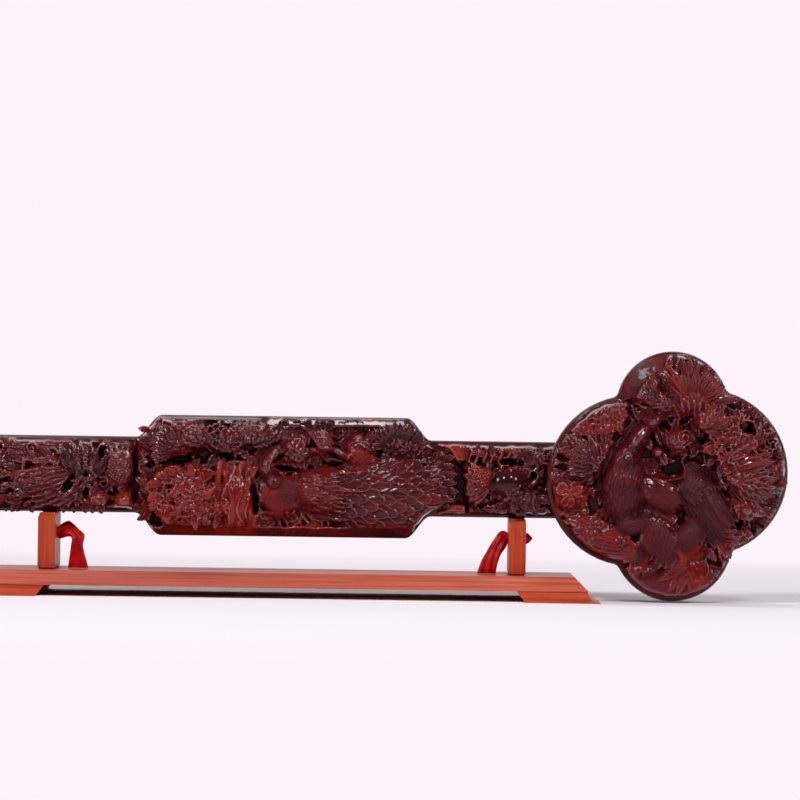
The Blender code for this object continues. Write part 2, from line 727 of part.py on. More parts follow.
def make_post(side, parent, material):
    name = "post_right" if side > 0 else "post_left"
    x = side * POST_SPACING / 2
    profile = post_profile()
    count = len(profile)
    half = POST_WIDTH / 2
    points = [(-half, y, z) for y, z in profile] + [(half, y, z) for y, z in profile]
    faces = [list(range(count - 1, -1, -1)), list(range(count, 2 * count))]
    faces += [(k, (k + 1) % count, (k + 1) % count + count, k + count) for k in range(count)]
    post = add_object(name, points, faces, parent, material, (x, 0, 0))
    add_bevel(post, POST_CHAMFER, segments=1)
    low = (-TENON_WIDTH / 2, BOARD_MIDDLE - TENON_DEPTH / 2, BOARD_BOTTOM + TENON_SHORT)
    high = (TENON_WIDTH / 2, BOARD_MIDDLE + TENON_DEPTH / 2, BOARD_TOP + POST_HEIGHT / 3)
    tenon = hide_helper(add_object(name + "_tenon", *box_shape(low, high), parent, None, (x, 0, 0)))
    union = post.modifiers.new("tenon", "BOOLEAN")
    union.operation = "UNION"
    union.solver = "EXACT"
    union.object = tenon
    hole_z = BOARD_TOP + RIBBON_HOLE_HEIGHT
    low = (-POST_WIDTH, BOARD_MIDDLE - RIBBON_HOLE_WIDTH / 2, hole_z - RIBBON_HOLE_TALL / 2)
    high = (POST_WIDTH, BOARD_MIDDLE + RIBBON_HOLE_WIDTH / 2, hole_z + RIBBON_HOLE_TALL / 2)
    hole = hide_helper(add_object(name + "_hole", *box_shape(low, high), parent, None, (x, 0, 0)))
    add_cut(post, hole)
    return post


def smooth_course(course):
    """The course with points added between its own on a smooth curve."""
    points = [Vector(p) for p in course]
    ends = [2 * points[0] - points[1]] + points + [2 * points[-1] - points[-2]]
    fine = []
    for a, b, c, d in zip(ends, ends[1:], ends[2:], ends[3:]):
        for k in range(RIBBON_PASSES):
            t = k / RIBBON_PASSES
            bend, twist = 2 * a - 5 * b + 4 * c - d, 3 * b - a - 3 * c + d
            fine.append(0.5 * (2 * b + (c - a) * t + bend * t**2 + twist * t**3))
    return fine + [points[-1]]


def ribbon_section(share):
    """Width and thickness of a ribbon at a share of its tail."""
    opened = smooth_step(share / 0.25)
    width = RIBBON_IN_HOLE + (RIBBON_WIDTH - RIBBON_IN_HOLE) * opened
    width += (RIBBON_END_WIDTH - RIBBON_WIDTH) * smooth_step((share - 0.4) / 0.6)
    return width, RIBBON_FOLDED + (RIBBON_THICKNESS - RIBBON_FOLDED) * opened


def ribbon_stations(course):
    """Place, width, thickness and side of the post (-1 knot, 1 tail) of each section of a ribbon."""
    fine = smooth_course(course)
    half_post = POST_WIDTH / 2 + GAP
    knot = [p for p in fine if p.x < -half_post - RIBBON_THICKNESS / 2]
    tail = [p for p in fine if p.x > half_post + RIBBON_THICKNESS / 2]
    stations = [(p, KNOT_SIZE, KNOT_SIZE, -1) for p in knot]
    stations[0] = (knot[0], KNOT_SIZE * KNOT_TAPER, KNOT_SIZE * KNOT_TAPER, -1)
    for x in (-half_post, 0, half_post):
        stations.append((Vector((x, 0, 0)), RIBBON_IN_HOLE, RIBBON_FOLDED, 0))
    for k, p in enumerate(tail):
        stations.append((p, *ribbon_section(k / (len(tail) - 1)), 1))
    return stations


def make_ribbon(side, course, parent, material):
    """A ribbon from its knot outside the post, through the hole, to its tail that falls on the board."""
    half_post = POST_WIDTH / 2 + GAP
    stations = ribbon_stations(course)
    last = len(stations) - 1
    points, faces = [], []
    for k, (place, width, thickness, region) in enumerate(stations):
        along = stations[min(k + 1, last)][0] - stations[max(k - 1, 0)][0]
        across = Vector((-along.z, 0, along.x)).normalized()
        if region == 0:
            across = Vector((0, 0, 1))
        for u, v in ((-1, -1), (1, -1), (1, 1), (-1, 1)):
            corner = place + across * (u * width / 2) + Vector((0, v * thickness / 2, 0))
            corner.z = max(corner.z, GAP - RIBBON_HOLE_HEIGHT)
            if region:
                corner.x = region * max(region * corner.x, half_post)
            points.append((-side * corner.x, corner.y, corner.z))
    for k in range(last):
        for c in range(4):
            a, b = 4 * k + c, 4 * k + (c + 1) % 4
            faces.append((a, b, b + 4, a + 4) if side > 0 else (a, a + 4, b + 4, b))
    end = 4 * last
    first_cap, last_cap = [3, 2, 1, 0], [end, end + 1, end + 2, end + 3]
    faces += [first_cap, last_cap] if side > 0 else [first_cap[::-1], last_cap[::-1]]
    name = "ribbon_right" if side > 0 else "ribbon_left"
    place = (side * POST_SPACING / 2, BOARD_MIDDLE, BOARD_TOP + RIBBON_HOLE_HEIGHT)
    return add_object(name, points, faces, parent, material, place, smooth=True)


def make_stand(parent, wood, dowel_wood, satin):
    mortises = []
    for side in (-1, 1):
        x = side * POST_SPACING / 2
        half_width, half_depth = TENON_WIDTH / 2 + GAP, TENON_DEPTH / 2 + GAP
        low = (x - half_width, BOARD_MIDDLE - half_depth, BOARD_BOTTOM - BOARD_THICKNESS)
        high = (x + half_width, BOARD_MIDDLE + half_depth, BOARD_TOP + BOARD_THICKNESS)
        mortises.append(box_shape(low, high))
    holes = []
    for _, place in foot_dowel_places():
        start = Vector(place) - Vector((0, 0, GAP))
        end = Vector(place) + Vector((0, 0, FOOT_DOWEL_LENGTH + GAP))
        holes.append(rod_shape(FOOT_DOWEL_RADIUS + GAP, start, end))
    board_cutter = hide_helper(add_object("mortises", *join_shapes(mortises + holes), parent))
    foot_cutter = hide_helper(add_object("foot_dowel_holes", *join_shapes(holes), parent))
    make_board(parent, wood, board_cutter)
    for side in (-1, 1):
        make_foot(side, parent, wood, foot_cutter)
        make_post(side, parent, wood)
    for name, place in foot_dowel_places():
        points, faces = rod_shape(FOOT_DOWEL_RADIUS, (0, 0, 0), (0, 0, FOOT_DOWEL_LENGTH))
        add_object(name, points, faces, parent, dowel_wood, place, smooth=True)
    make_ribbon(-1, LEFT_RIBBON_COURSE, parent, satin)
    make_ribbon(1, RIGHT_RIBBON_COURSE, parent, satin)


def centre_on_floor(root):
    """Moves the assembly so that the origin is below the middle of its box, on the surface it stands on."""
    bpy.context.view_layer.update()
    graph = bpy.context.evaluated_depsgraph_get()
    xs, ys = [], []
    for obj in bpy.context.scene.objects:
        if obj.type == "MESH" and not obj.hide_render:
            whole = obj.evaluated_get(graph)
            for vertex in whole.data.vertices:
                place = whole.matrix_world @ vertex.co
                xs.append(place.x)
                ys.append(place.y)
    root.location = (-(min(xs) + max(xs)) / 2, -(min(ys) + max(ys)) / 2, 0)
    print("middle of the box:", *(round(-value, 6) for value in root.location))


def main():
    clear_scene()
    carved = make_material("carved_rosewood", (0.16, 0.028, 0.026), 0.3)
    polished = make_material("polished_rosewood", (0.12, 0.018, 0.016), 0.2)
    stand_wood = make_material("stand_wood", (0.52, 0.13, 0.055), 0.35)
    dowel_wood = make_material("dowel_wood", (0.42, 0.24, 0.12), 0.6)
    satin = make_material("red_satin", (0.55, 0.01, 0.015), 0.4)
    root = add_empty("ruyi_on_stand", (0, 0, 0))
    scepter = add_empty("scepter", (0, 0, AXIS_HEIGHT), root)
    stand = add_empty("stand", (0, 0, 0), root)
    make_scepter(scepter, carved, polished, dowel_wood)
    make_stand(stand, stand_wood, dowel_wood, satin)
    centre_on_floor(root)


main()
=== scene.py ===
"""The looks of a carved rosewood ruyi scepter on its two-post stand.

Every carving is a closed mesh over a fine grid. Its heights are built up from carved motifs: plumes,
leaves, petals, scales, strands and scrolls. The carvings are measured in millimetres: x towards the
scepter's head, z up from the middle line of its handle. The carvings of the head and the tail have their
origin in their plate's middle, and the others in the stand's middle. Turns are in degrees, from x towards z.
"""

import math

import bmesh
import bpy
import numpy as np
from mathutils import Matrix, Vector


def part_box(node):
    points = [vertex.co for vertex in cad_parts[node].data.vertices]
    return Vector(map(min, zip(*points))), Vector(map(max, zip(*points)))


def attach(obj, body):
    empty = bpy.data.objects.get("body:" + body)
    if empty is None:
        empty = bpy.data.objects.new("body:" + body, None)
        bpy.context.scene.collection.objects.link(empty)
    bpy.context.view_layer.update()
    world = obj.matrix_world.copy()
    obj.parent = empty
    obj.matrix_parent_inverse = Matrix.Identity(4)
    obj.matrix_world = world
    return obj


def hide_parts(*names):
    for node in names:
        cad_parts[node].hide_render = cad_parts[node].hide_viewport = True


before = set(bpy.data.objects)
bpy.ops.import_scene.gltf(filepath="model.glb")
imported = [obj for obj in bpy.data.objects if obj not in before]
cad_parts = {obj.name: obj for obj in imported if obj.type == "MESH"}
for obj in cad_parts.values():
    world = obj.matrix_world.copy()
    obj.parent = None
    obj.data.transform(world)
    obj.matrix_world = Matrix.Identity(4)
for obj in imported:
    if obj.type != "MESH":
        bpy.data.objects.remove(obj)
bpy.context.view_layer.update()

MM = 0.001
CELL = 0.42


def middle(node):
    low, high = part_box(node)
    return (low + high) / 2


MIDDLE_X = middle("base_board").x
RAIL_Y = middle("handle_rail").y
AXIS_Z = middle("handle_rail").z


def front_box(node, origin=0):
    """The low and high corner of a node as seen from the front, in millimetres from origin."""
    return np.array([((c.x - MIDDLE_X) / MM - origin, (c.z - AXIS_Z) / MM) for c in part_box(node)])


HEAD_X = 229
TAIL_X = -232
HANDLE_WIDTH = 45.5
PLAQUE_REACH = -front_box("middle_plaque")[0, 0]
PLAQUE_HALF_HEIGHT = np.ptp(front_box("middle_plaque")[:, 1]) / 2
SHOULDER_LENGTH = 14.5
PLUME_REACH = 15.5
PLUME_HEIGHT = 40
POST_X = front_box("post_right")[:, 0].mean()
POST_CLEARANCE = 8
POST_WIDTH = 10.1
RIBBON_HOLE_HEIGHT = 21.5


# Curves and noise


def smooth_step(share):
    share = np.clip(share, 0.0, 1.0)
    return share * share * (3 - 2 * share)


def bell(values, width):
    return np.exp(-((values / width) ** 2))


def heading(turn):
    return math.cos(math.radians(turn)), math.sin(math.radians(turn))


def turn_of(dx, dz):
    return math.degrees(math.atan2(dz, dx))


def smooth_curve(points, step):
    """Points about step apart on a smooth curve through the given ones."""
    p = np.array(points, float)
    p = np.vstack([2 * p[0] - p[1], p, 2 * p[-1] - p[-2]])
    fine = []
    for a, b, c, d in zip(p, p[1:], p[2:], p[3:]):
        count = max(2, math.ceil(np.linalg.norm(c - b) / step))
        t = (np.arange(count) / count)[:, None]
        square, cube = 2 * a - 5 * b + 4 * c - d, 3 * b - a - 3 * c + d
        fine.append(0.5 * (2 * b + (c - a) * t + square * t**2 + cube * t**3))
    return np.vstack(fine + [p[-2][None]])


def blur(values, sigma):
    """A Gaussian blur, sigma in cells."""
    reach = max(1, math.ceil(3 * sigma))
    weights = np.exp(-0.5 * (np.arange(-reach, reach + 1) / sigma) ** 2)
    weights /= weights.sum()
    padded = np.pad(values, reach, mode="edge")
    rows = sum(w * padded[k : k + values.shape[0], :] for k, w in enumerate(weights))
    return sum(w * rows[:, k : k + values.shape[1]] for k, w in enumerate(weights))


def noise(shape, sigma, seed):
    """Smooth seeded noise of about unit size."""
    values = blur(np.random.default_rng(seed).normal(size=shape), sigma)
    return values / values.std()


# Outlines


def arc_through(first, via, last, steps):
    """Points of the clockwise circular arc from first through via, without last."""
    a, b, c = (complex(*point) for point in (first, via, last))
    w = (c - a) / (b - a)
    centre = a + (b - a) * (w - abs(w) ** 2) / (2j * w.imag)
    begin = np.angle(a - centre)
    sweep = (np.angle(c - centre) - begin) % (2 * np.pi) - 2 * np.pi
    arc = centre + abs(a - centre) * np.exp(1j * (begin + sweep * np.arange(steps) / steps))
    return np.stack([arc.real, arc.imag], 1)


# Where the lobes of a plate meet and where they end, in halves of its width and height
LOBE_CORNERS = np.array([(-0.433, 0.642), (0.475, 0.690), (0.532, -0.587), (-0.411, -0.709)])
LOBE_TIPS = np.array([(0.057, 1.010), (0.993, 0.033), (0.014, -0.993), (-1.007, -0.095)])
LOBE_STEPS = 40


def lobed_outline(node, origin):
    """The four-lobed outline of a carved plate, from its CAD box."""
    low, high = front_box(node, origin)
    half = (high - low) / np.ptp(LOBE_TIPS, axis=0)
    centre = low - LOBE_TIPS.min(0) * half
    corners, tips = centre + LOBE_CORNERS * half, centre + LOBE_TIPS * half
    ends = np.roll(corners, -1, axis=0)
    return np.vstack([arc_through(*points, LOBE_STEPS) for points in zip(corners, tips, ends)])


def strip_outline(start, end, half_at, steps):
    """The outline of a strip whose half height at x is half_at(x), clockwise."""
    xs = [start + (end - start) * k / steps for k in range(steps + 1)]
    return np.array([(x, half_at(x)) for x in xs] + [(x, -half_at(x)) for x in reversed(xs)])


def plaque_half(x):
    """Half the plaque's height at x: shoulders at both ends, and plumes that run out at the right."""
    if x <= PLAQUE_REACH - SHOULDER_LENGTH:
        widened = float(smooth_step((PLAQUE_REACH - abs(x)) / SHOULDER_LENGTH))
        return HANDLE_WIDTH / 2 + (PLAQUE_HALF_HEIGHT - HANDLE_WIDTH / 2) * widened
    share = (x - PLAQUE_REACH + SHOULDER_LENGTH) / (PLUME_REACH + SHOULDER_LENGTH)
    narrowed = float(1 - smooth_step(share * 1.9))
    full = PLUME_HEIGHT / 2 + (PLAQUE_HALF_HEIGHT - PLUME_HEIGHT / 2) * narrowed
    return full * math.sqrt(max(1 - share**4, 0.03))


def inside_outline(outline, x, z):
    """Whether each point lies inside a closed outline."""
    inside = np.zeros(x.shape, bool)
    for (ax, az), (bx, bz) in zip(outline, np.roll(outline, -1, axis=0)):
        if az != bz:
            crosses = (az > z) != (bz > z)
            inside ^= crosses & (x < ax + (z - az) * (bx - ax) / (bz - az))
    return inside


def nearest_on(outline, points):
    """The nearest place on a closed outline to each point, and its distance."""
    along = np.roll(outline, -1, axis=0) - outline
    size = np.maximum((along**2).sum(1), 1e-12)
    best = np.full(len(points), np.inf)
    place = points.copy()
    for start, step, length in zip(outline, along, size):
        share = np.clip(((points - start) @ step) / length, 0, 1)
        spot = start + share[:, None] * step
        away = np.hypot(*(points - spot).T)
        closer = away < best
        best[closer], place[closer] = away[closer], spot[closer]
    return place, best


# Motif shapes. Each takes u, from 0 at the root to 1 at the tip, and v, from -1 to 1 across at its widest.
# It returns where the motif is and its height there, about 0 to 1.


def arch(t, point, power=0.5):
    """Half the width of a motif whose widest place is nearer to its tip the larger point is."""
    return np.clip(np.sin(np.pi * t**point), 0, 1) ** power


def rounded_motif(half, high, edge, sill):
    """A motif from its half width at t and its height at t, q and v, of which sill is left at its edge."""

    def shape(u, v):
        t = np.clip(u, 0, 1)
        q = np.abs(v) / np.maximum(half(t), 1e-6)
        rounding = sill + (1 - sill) * np.sqrt(np.clip((1 - q) / edge, 0, 1))
        return (u > 0) & (u < 1) & (q < 1), high(t, q, v) * rounding

    return shape


def feather(barbs=7, rim=0.34, point=0.75):
    def high(t, q, v):
        ribs = rim * bell(q - 0.82, 0.15) * smooth_step(t * 3) + 0.24 * bell(v, 0.13) * (1 - 0.7 * t)
        lines = 0.06 * np.cos(2 * np.pi * (barbs * t - 2.0 * q)) * np.clip(q * 4, 0, 1)
        return 0.2 + 0.72 * t + ribs + lines

    return rounded_motif(lambda t: arch(t, point), high, 0.16, 0.35)


def plume():
    """A broad tail feather: a shallow bowl with a thin raised rim and a midrib."""

    def high(t, q, v):
        rim = 0.30 * bell(q - 0.8, 0.16) * smooth_step(t * 3)
        return 0.1 + 0.62 * t + rim + 0.16 * bell(v, 0.14) * (1 - 0.6 * t)

    return rounded_motif(lambda t: arch(t, 0.85), high, 0.15, 0.3)


def leaf(veins=5, teeth=0.16, fold=0.45):
    def half(t):
        return arch(t, 0.85, 0.85) * (1 - teeth * (1 - (veins * t) % 1.0))

    def high(t, q, v):
        body = 0.42 + 0.4 * np.sin(np.pi * t) + fold * 0.5 * q**1.5 - 0.34 * bell(v, 0.1) * (1 - 0.5 * t)
        return body + 0.11 * np.cos(2 * np.pi * (veins * t - 0.8 * q)) * np.clip(q * 3, 0, 1)

    return rounded_motif(half, high, 0.16, 0)


def petal(lines=5, cup=0.3, waves=3):
    """A cupped petal with a thin ruffled rim."""

    def shape(u, v):
        ruffled = u * (1 + 0.08 * np.cos(waves * np.pi * v))
        t = np.clip(ruffled, 0, 1)
        q = np.abs(v) / np.maximum(arch(t, 1.7), 1e-6)
        rim = bell(np.minimum(1 - q, 1.5 * (1 - t)) - 0.16, 0.13)
        high = 0.1 + 0.42 * t + cup * q**2 + 0.36 * rim + 0.05 * np.cos(lines * np.pi * v) * np.sin(np.pi * t)
        edge = np.minimum((1 - q) / 0.1, (1 - t) / 0.06)
        return (ruffled > 0) & (ruffled < 1) & (q < 1), high * np.sqrt(np.clip(edge, 0, 1))

    return shape


def bird_scale(rim=0.3):
    def half(t):
        return np.sqrt(np.clip(1 - (2 * t - 1) ** 2, 0, 1))

    return rounded_motif(half, lambda t, q, v: 0.25 + 0.6 * t + rim * bell(t - 0.85, 0.14), 0.25, 0.3)


def dome(u, v):
    inside = 1 - (2 * u - 1) ** 2 - v**2
    return inside > 0, np.sqrt(np.clip(inside, 0, 1))


FEATHER, LEAF, PETAL, SCALE, DOME, PLUME = feather(), leaf(), petal(), bird_scale(), dome, plume()
BLADE = leaf(veins=3, teeth=0.05, fold=0.2)
LONG_FEATHER = feather(barbs=16, rim=0.22, point=0.9)


class Field:
    """A carved surface inside a closed outline, as heights above its flat back."""

    def __init__(self, outline, origin, back_y, ground, seed):
        self.outline, self.origin, self.back_y, self.seed = outline, origin, back_y, seed
        low, high = outline.min(0) - 2 * CELL, outline.max(0) + 2 * CELL
        self.xs, self.zs = np.arange(low[0], high[0], CELL), np.arange(low[1], high[1], CELL)
        self.x, self.z = np.meshgrid(self.xs, self.zs)
        self.form = np.full(self.x.shape, ground)
        self.height = self.form.copy()
        self.tone = np.full(self.x.shape, 0.45)
        # sunk marks the floors of hollows, which the material paints dark as shade.
        self.fine, self.sunk, self.dull = (np.zeros(self.x.shape) for _ in range(3))
        self.random = np.random.default_rng(seed)
        self.draw, self.pick = self.random.normal, self.random.random

    def window(self, x, z, reach):
        i = np.searchsorted(self.xs, (x - reach, x + reach))
        k = np.searchsorted(self.zs, (z - reach, z + reach))
        return slice(*k), slice(*i)

    def turned(self, w, x, z, turn):
        """How far along turn, and across it, the cells of a window lie from (x, z)."""
        c, s = heading(turn)
        dx, dz = self.x[w] - x, self.z[w] - z
        return dx * c + dz * s, dz * c - dx * s

    def ellipse(self, x, z, half_length, half_width, turn):
        """The window round an ellipse, and its cells' places along, across and outwards, 1 at its edge."""
        w = self.window(x, z, max(half_length, half_width))
        along, across = self.turned(w, x, z, turn)
        return w, along, across, np.hypot(along / half_length, across / half_width)

    def mass(self, x, z, half_length, half_width, turn, height, power=0.6):
        """Raises a rounded form in the ground that the motifs lie on."""
        w, _, _, away = self.ellipse(x, z, half_length, half_width, turn)
        self.form[w] = np.maximum(self.form[w], height * np.clip(1 - away**2, 0, 1) ** power)

    def settle(self, forms, soften, sunk):
        """Raises the last forms and softens them all: the ground between motifs lies sunk below them."""
        for form in forms:
            self.mass(*form)
        self.form = blur(self.form, soften / CELL)
        self.height = self.form - sunk

    def lay(self, w, inside, new, tone, cover=False):
        """Carves new heights over what lies lower, or with cover over all that is there."""
        over = inside & (cover | (new > self.height[w]))
        for layer, value in ((self.height, new), (self.tone, tone), (self.sunk, 0.0)):
            layer[w] = np.where(over, value, layer[w])

    def stamp(self, x, z, turn, length, width, shape, lift, bend=0.0, tone=0.5, sit=None, cover=False):
        """Carves a motif with its root at (x, z), pointing along turn, on the ground or at the height sit."""
        c, s = heading(turn)
        reach = 0.5 * length + 0.6 * width + abs(bend) * length
        w = self.window(x + c * length / 2, z + s * length / 2, reach)
        along, across = self.turned(w, x, z, turn)
        u = along / length
        inside, high = shape(u, (across - bend * length * u * np.abs(u)) / (width / 2))
        self.lay(w, inside, (self.form[w] if sit is None else sit) + lift * high, tone, cover)

    def bare(self, x, z, half_length, half_width, turn, tone, raised=0.0):
        """Smooths an ellipse back to the form, for the body of a bird."""
        w, _, _, away = self.ellipse(x, z, half_length, half_width, turn)
        share = smooth_step((1 - away) / 0.3)
        domed = raised * np.sqrt(np.clip(1 - 0.8 * away**2, 0, 1))
        self.height[w] += (self.form[w] + domed - self.height[w]) * share
        self.fine[w] *= 1 - share
        self.tone[w] += (tone - self.tone[w]) * share

    def ridge(self, points, width, lift, ends=(1.0, 0.4), tone=0.5, sit=None):
        """Carves a round strand along a smooth path, tapering between its ends."""
        course = smooth_curve(points, max(0.3 * width, CELL))
        for k, (x, z) in enumerate(course):
            size = ends[0] + (ends[1] - ends[0]) * k / (len(course) - 1)
            r = max(width / 2 * size, 0.8 * CELL)
            w = self.window(x, z, r)
            inside = 1 - ((self.x[w] - x) ** 2 + (self.z[w] - z) ** 2) / r**2
            high = lift * (0.3 + 0.7 * size) * np.sqrt(np.clip(inside, 0, 1))
            self.lay(w, inside > 0, (self.form[w] if sit is None else sit) + high, tone)

    def texture(self, w, away, pattern):
        """Puts a fine dull pattern inside an ellipse, faded out at its edge."""
        room = np.clip(1 - away**2, 0, 1)
        self.fine[w] += (pattern - self.fine[w]) * np.minimum(1, 3 * room)
        self.dull[w] = np.maximum(self.dull[w], np.minimum(1, 4 * room))

    def etch(self, x, z, half_length, half_width, turn, spacing, depth, bend=0.0, dash=5.0):
        """Cuts short fine feather lines that flow along turn inside an ellipse."""
        w, along, across, away = self.ellipse(x, z, half_length, half_width, turn)
        across = across + bend * along**2 / half_length + 0.5 * spacing * noise(along.shape, 9, self.seed + 5)
        row = np.round(across / spacing)
        stroke = np.sin(2 * np.pi * (along / (dash * spacing) + 0.37 * row * row)) ** 2
        self.texture(w, away, depth * np.cos(2 * np.pi * across / spacing) * (0.35 + 0.65 * stroke))

    def speckle(self, x, z, half_length, half_width, turn, spacing, depth):
        """Punches a fine dotted ground inside an ellipse."""
        w, along, across, away = self.ellipse(x, z, half_length, half_width, turn)
        along = along + 0.3 * spacing * noise(along.shape, 7, self.seed + 6)
        directions = (0.5 * along + 0.87 * across, 0.5 * along - 0.87 * across, along)
        self.texture(w, away, depth * sum(np.cos(2 * np.pi * way / spacing) for way in directions) / 3)

    def hollow(self, x, z, half_length, half_width, turn, floor, wall=0.35):
        """Sinks a hollow down to floor, and marks it in sunk, so that it is painted dark as shade."""
        w, _, _, away = self.ellipse(x, z, half_length, half_width, turn)
        away = away + 0.16 * noise(away.shape, 1.2 / CELL, self.seed) if away.size else away
        share = smooth_step((1 - away) / wall)
        self.height[w] += (np.minimum(self.height[w], floor) - self.height[w]) * share
        self.sunk[w] = np.maximum(self.sunk[w], share)


# Groups of motifs, each drawn on a field f


def fan(f, x, z, start, end, count, length, width, shape, lift, bend=0.0, tone=0.5):
    """Motifs that spread from one root, between two directions."""
    for k in range(count):
        share = k / max(count - 1, 1)
        turn = start + (end - start) * share + f.draw() * 2.5
        long = length * (1 + 0.1 * f.draw())
        curve = bend * (2 * share - 1 if count > 1 else 1)
        f.stamp(x, z, turn, long, width, shape, lift * (0.9 + 0.2 * (k % 2)), curve, tone)


def quills(f, roots, tips, count, width, lift, bend=0.0, tone=0.5, ragged=0.1):
    """Long feathers side by side, from a line of roots to a line of tips. Each line is x, z to x, z."""
    for k in range(count):
        share = k / max(count - 1, 1)
        x, z = (roots[n] + (roots[n + 2] - roots[n]) * share for n in (0, 1))
        dx, dz = (tips[n] + (tips[n + 2] - tips[n]) * share - start for n, start in ((0, x), (1, z)))
        long = math.hypot(dx, dz) * (1 + ragged * f.draw())
        shade = tone + 0.06 * f.draw()
        f.stamp(x, z, turn_of(dx, dz), long, width, LONG_FEATHER, lift, bend, shade, None, True)


def thicket(f, spacing, length, width, lift, flow, tone=0.45, sweep=24):
    """Leaves over the whole ground, so that none of it is bare. flow(x, z) gives their direction."""
    for z in np.arange(f.zs[0], f.zs[-1], spacing):
        for x in np.arange(f.xs[0], f.xs[-1], spacing):
            at_x, at_z = x + spacing * 0.45 * f.draw(), z + spacing * 0.45 * f.draw()
            turn = flow(at_x, at_z) + sweep * f.draw()
            size = 0.8 + 0.4 * f.pick()
            curve, shade = 0.1 * f.draw(), tone + 0.1 * f.draw()
            rise = lift * (0.8 + 0.5 * f.pick())
            f.stamp(at_x, at_z, turn, length * size, width * size, LEAF, rise, curve, shade)


def spray(f, points, length, width, lift, tone=0.5):
    """Leaves in pairs along a curved stem."""
    course = smooth_curve(points, length * 0.42)
    for k in range(len(course) - 1):
        turn = turn_of(*(course[k + 1] - course[k]))
        size = 0.75 + 0.4 * math.sin(math.pi * (k + 1) / len(course))
        for side in (-1, 1):
            lean = turn + side * (42 + f.draw() * 5)
            f.stamp(*course[k], lean, length * size, width * size, LEAF, lift, -0.12 * side, tone)
    f.stamp(*course[-1], turn, length, width, LEAF, lift * 1.1, 0.0, tone)
    f.ridge(points, 1.1, lift * 0.9, (1.0, 0.5), tone)


def plumage(f, points, half_widths, length, width, shape, lift, tone=0.5, flare=0.5, pace=0.52):
    """Rows of overlapping feathers along a path. They point along it and turn outwards at its sides."""
    course = smooth_curve(points, length * pace)
    for row in reversed(range(len(course) - 1)):
        share = row / (len(course) - 1)
        half = np.interp(share, np.linspace(0, 1, len(half_widths)), half_widths)
        step = course[row + 1] - course[row]
        side = np.array([-step[1], step[0]]) / np.hypot(*step)
        count = max(1, round(2 * half / (width * 0.82)))
        for k in range(count + row % 2):
            across = (k + 0.5 - (count + row % 2) / 2) / max(count / 2, 1)
            place = course[row] + side * across * half
            lean = turn_of(*step) + flare * math.degrees(math.atan(across)) + f.draw() * 2.5
            long, shade = length * (1 + 0.05 * f.draw()), tone + 0.07 * f.draw()
            f.stamp(*place, lean, long, width, shape, lift, 0.05 * across, shade, None, True)


# Rings of a peony's petals: their number, and start, length, width and rise as shares of its radius and lift
PEONY_RINGS = ((9, 0.40, 0.62, 0.50, 0.42), (7, 0.20, 0.54, 0.46, 0.68))


def peony(f, x, z, radius, lift, tone=0.6, turn=0.0, squash=1.0):
    """A full peony: rings of cupped petals under the wavy folded edges of many more."""
    base = float(f.form[f.window(x, z, radius / 3)].max())
    for ring, (count, start, long, wide, rise) in enumerate(PEONY_RINGS):
        for k in range(count):
            angle = turn + 360 * (k + 0.5 * ring) / count + f.draw() * 8
            c, s = heading(angle)
            size, shade = 1 + 0.14 * f.draw(), tone + 0.08 * f.draw()
            at_x, at_z = x + radius * start * c, z + radius * start * s * squash
            sit = base + lift * (rise - 0.85)
            f.stamp(at_x, at_z, angle, radius * long * size, radius * wide, PETAL, lift * 0.4, 0, shade, sit)
    ruffles(f, x, z, 0.95 * radius, int(radius * 1.7), base - 0.3 * lift, lift, tone, squash)


def ruffles(f, x, z, radius, count, sit, lift, tone=0.6, squash=1.0):
    """Folded petal edges that curl round a centre and stand higher towards it."""
    for k in range(count):
        share = ((k + 0.5) / count) ** 0.5
        begin = 2.4 * k + f.draw() * 0.3
        r = radius * share
        sweep = min(7.0 / max(r, 2), 2.6)
        phase = f.random.uniform(0, 6.3)
        points = []
        for j in range(8):
            a = begin + sweep * (j / 7 - 0.5)
            wavy = r * (1 - 0.25 * (2 * j / 7 - 1) ** 2) + 0.8 * math.sin(1.9 * j + phase)
            points.append((x + wavy * math.cos(a), z + wavy * math.sin(a) * squash))
        high, shade = lift * (1.15 - 0.65 * share + 0.12 * f.draw()), tone + 0.1 * f.draw()
        f.ridge(points, 1.7 + 0.5 * f.pick(), high, (0.75, 0.6), shade, sit)


def pierced(f, x, z, half_length, half_width, turn, floor, fringe=7, tone=0.45):
    """A hollow painted dark as shade, with leaf tips that reach over its edge."""
    f.hollow(x, z, half_length, half_width, turn, floor, 0.4)
    c, s = heading(turn)
    for k in range(fringe):
        a = 2 * math.pi * (k + 0.4 * f.pick()) / fringe
        along, across = 1.35 * half_length * math.cos(a), 1.35 * half_width * math.sin(a)
        at_x, at_z = x + along * c - across * s, z + along * s + across * c
        lean = turn_of(x - at_x, z - at_z) + 38 * f.draw()
        size = 0.75 + 0.5 * f.pick()
        f.stamp(at_x, at_z, lean, 5 * size, 0.55 * 5 * size, LEAF, 3.4, 0.1, tone + 0.1 * f.draw())


def floret(f, x, z, radius, lift, tone=0.5, turn=0.0):
    """A small flower with round petals and a bead in its middle."""
    for k in range(5):
        f.stamp(x, z, turn + 360 * k / 5, radius, radius * 0.95, PETAL, lift, 0, tone)
    f.stamp(x - 0.22 * radius, z, 0, 0.44 * radius, 0.44 * radius, DOME, lift * 1.1, 0, tone)


def scroll(f, x, z, radius, width, lift, turns=1.6, start=0.0, way=1, tone=0.45):
    """A spiral scroll that winds in from its outer end."""
    points = []
    for share in np.arange(19) / 18:
        c, s = heading(start + 360 * way * turns * share)
        r = radius * (1 - 0.82 * share)
        points.append((x + r * c, z + r * s))
    f.ridge(points, width, lift, (1.0, 0.65), tone)


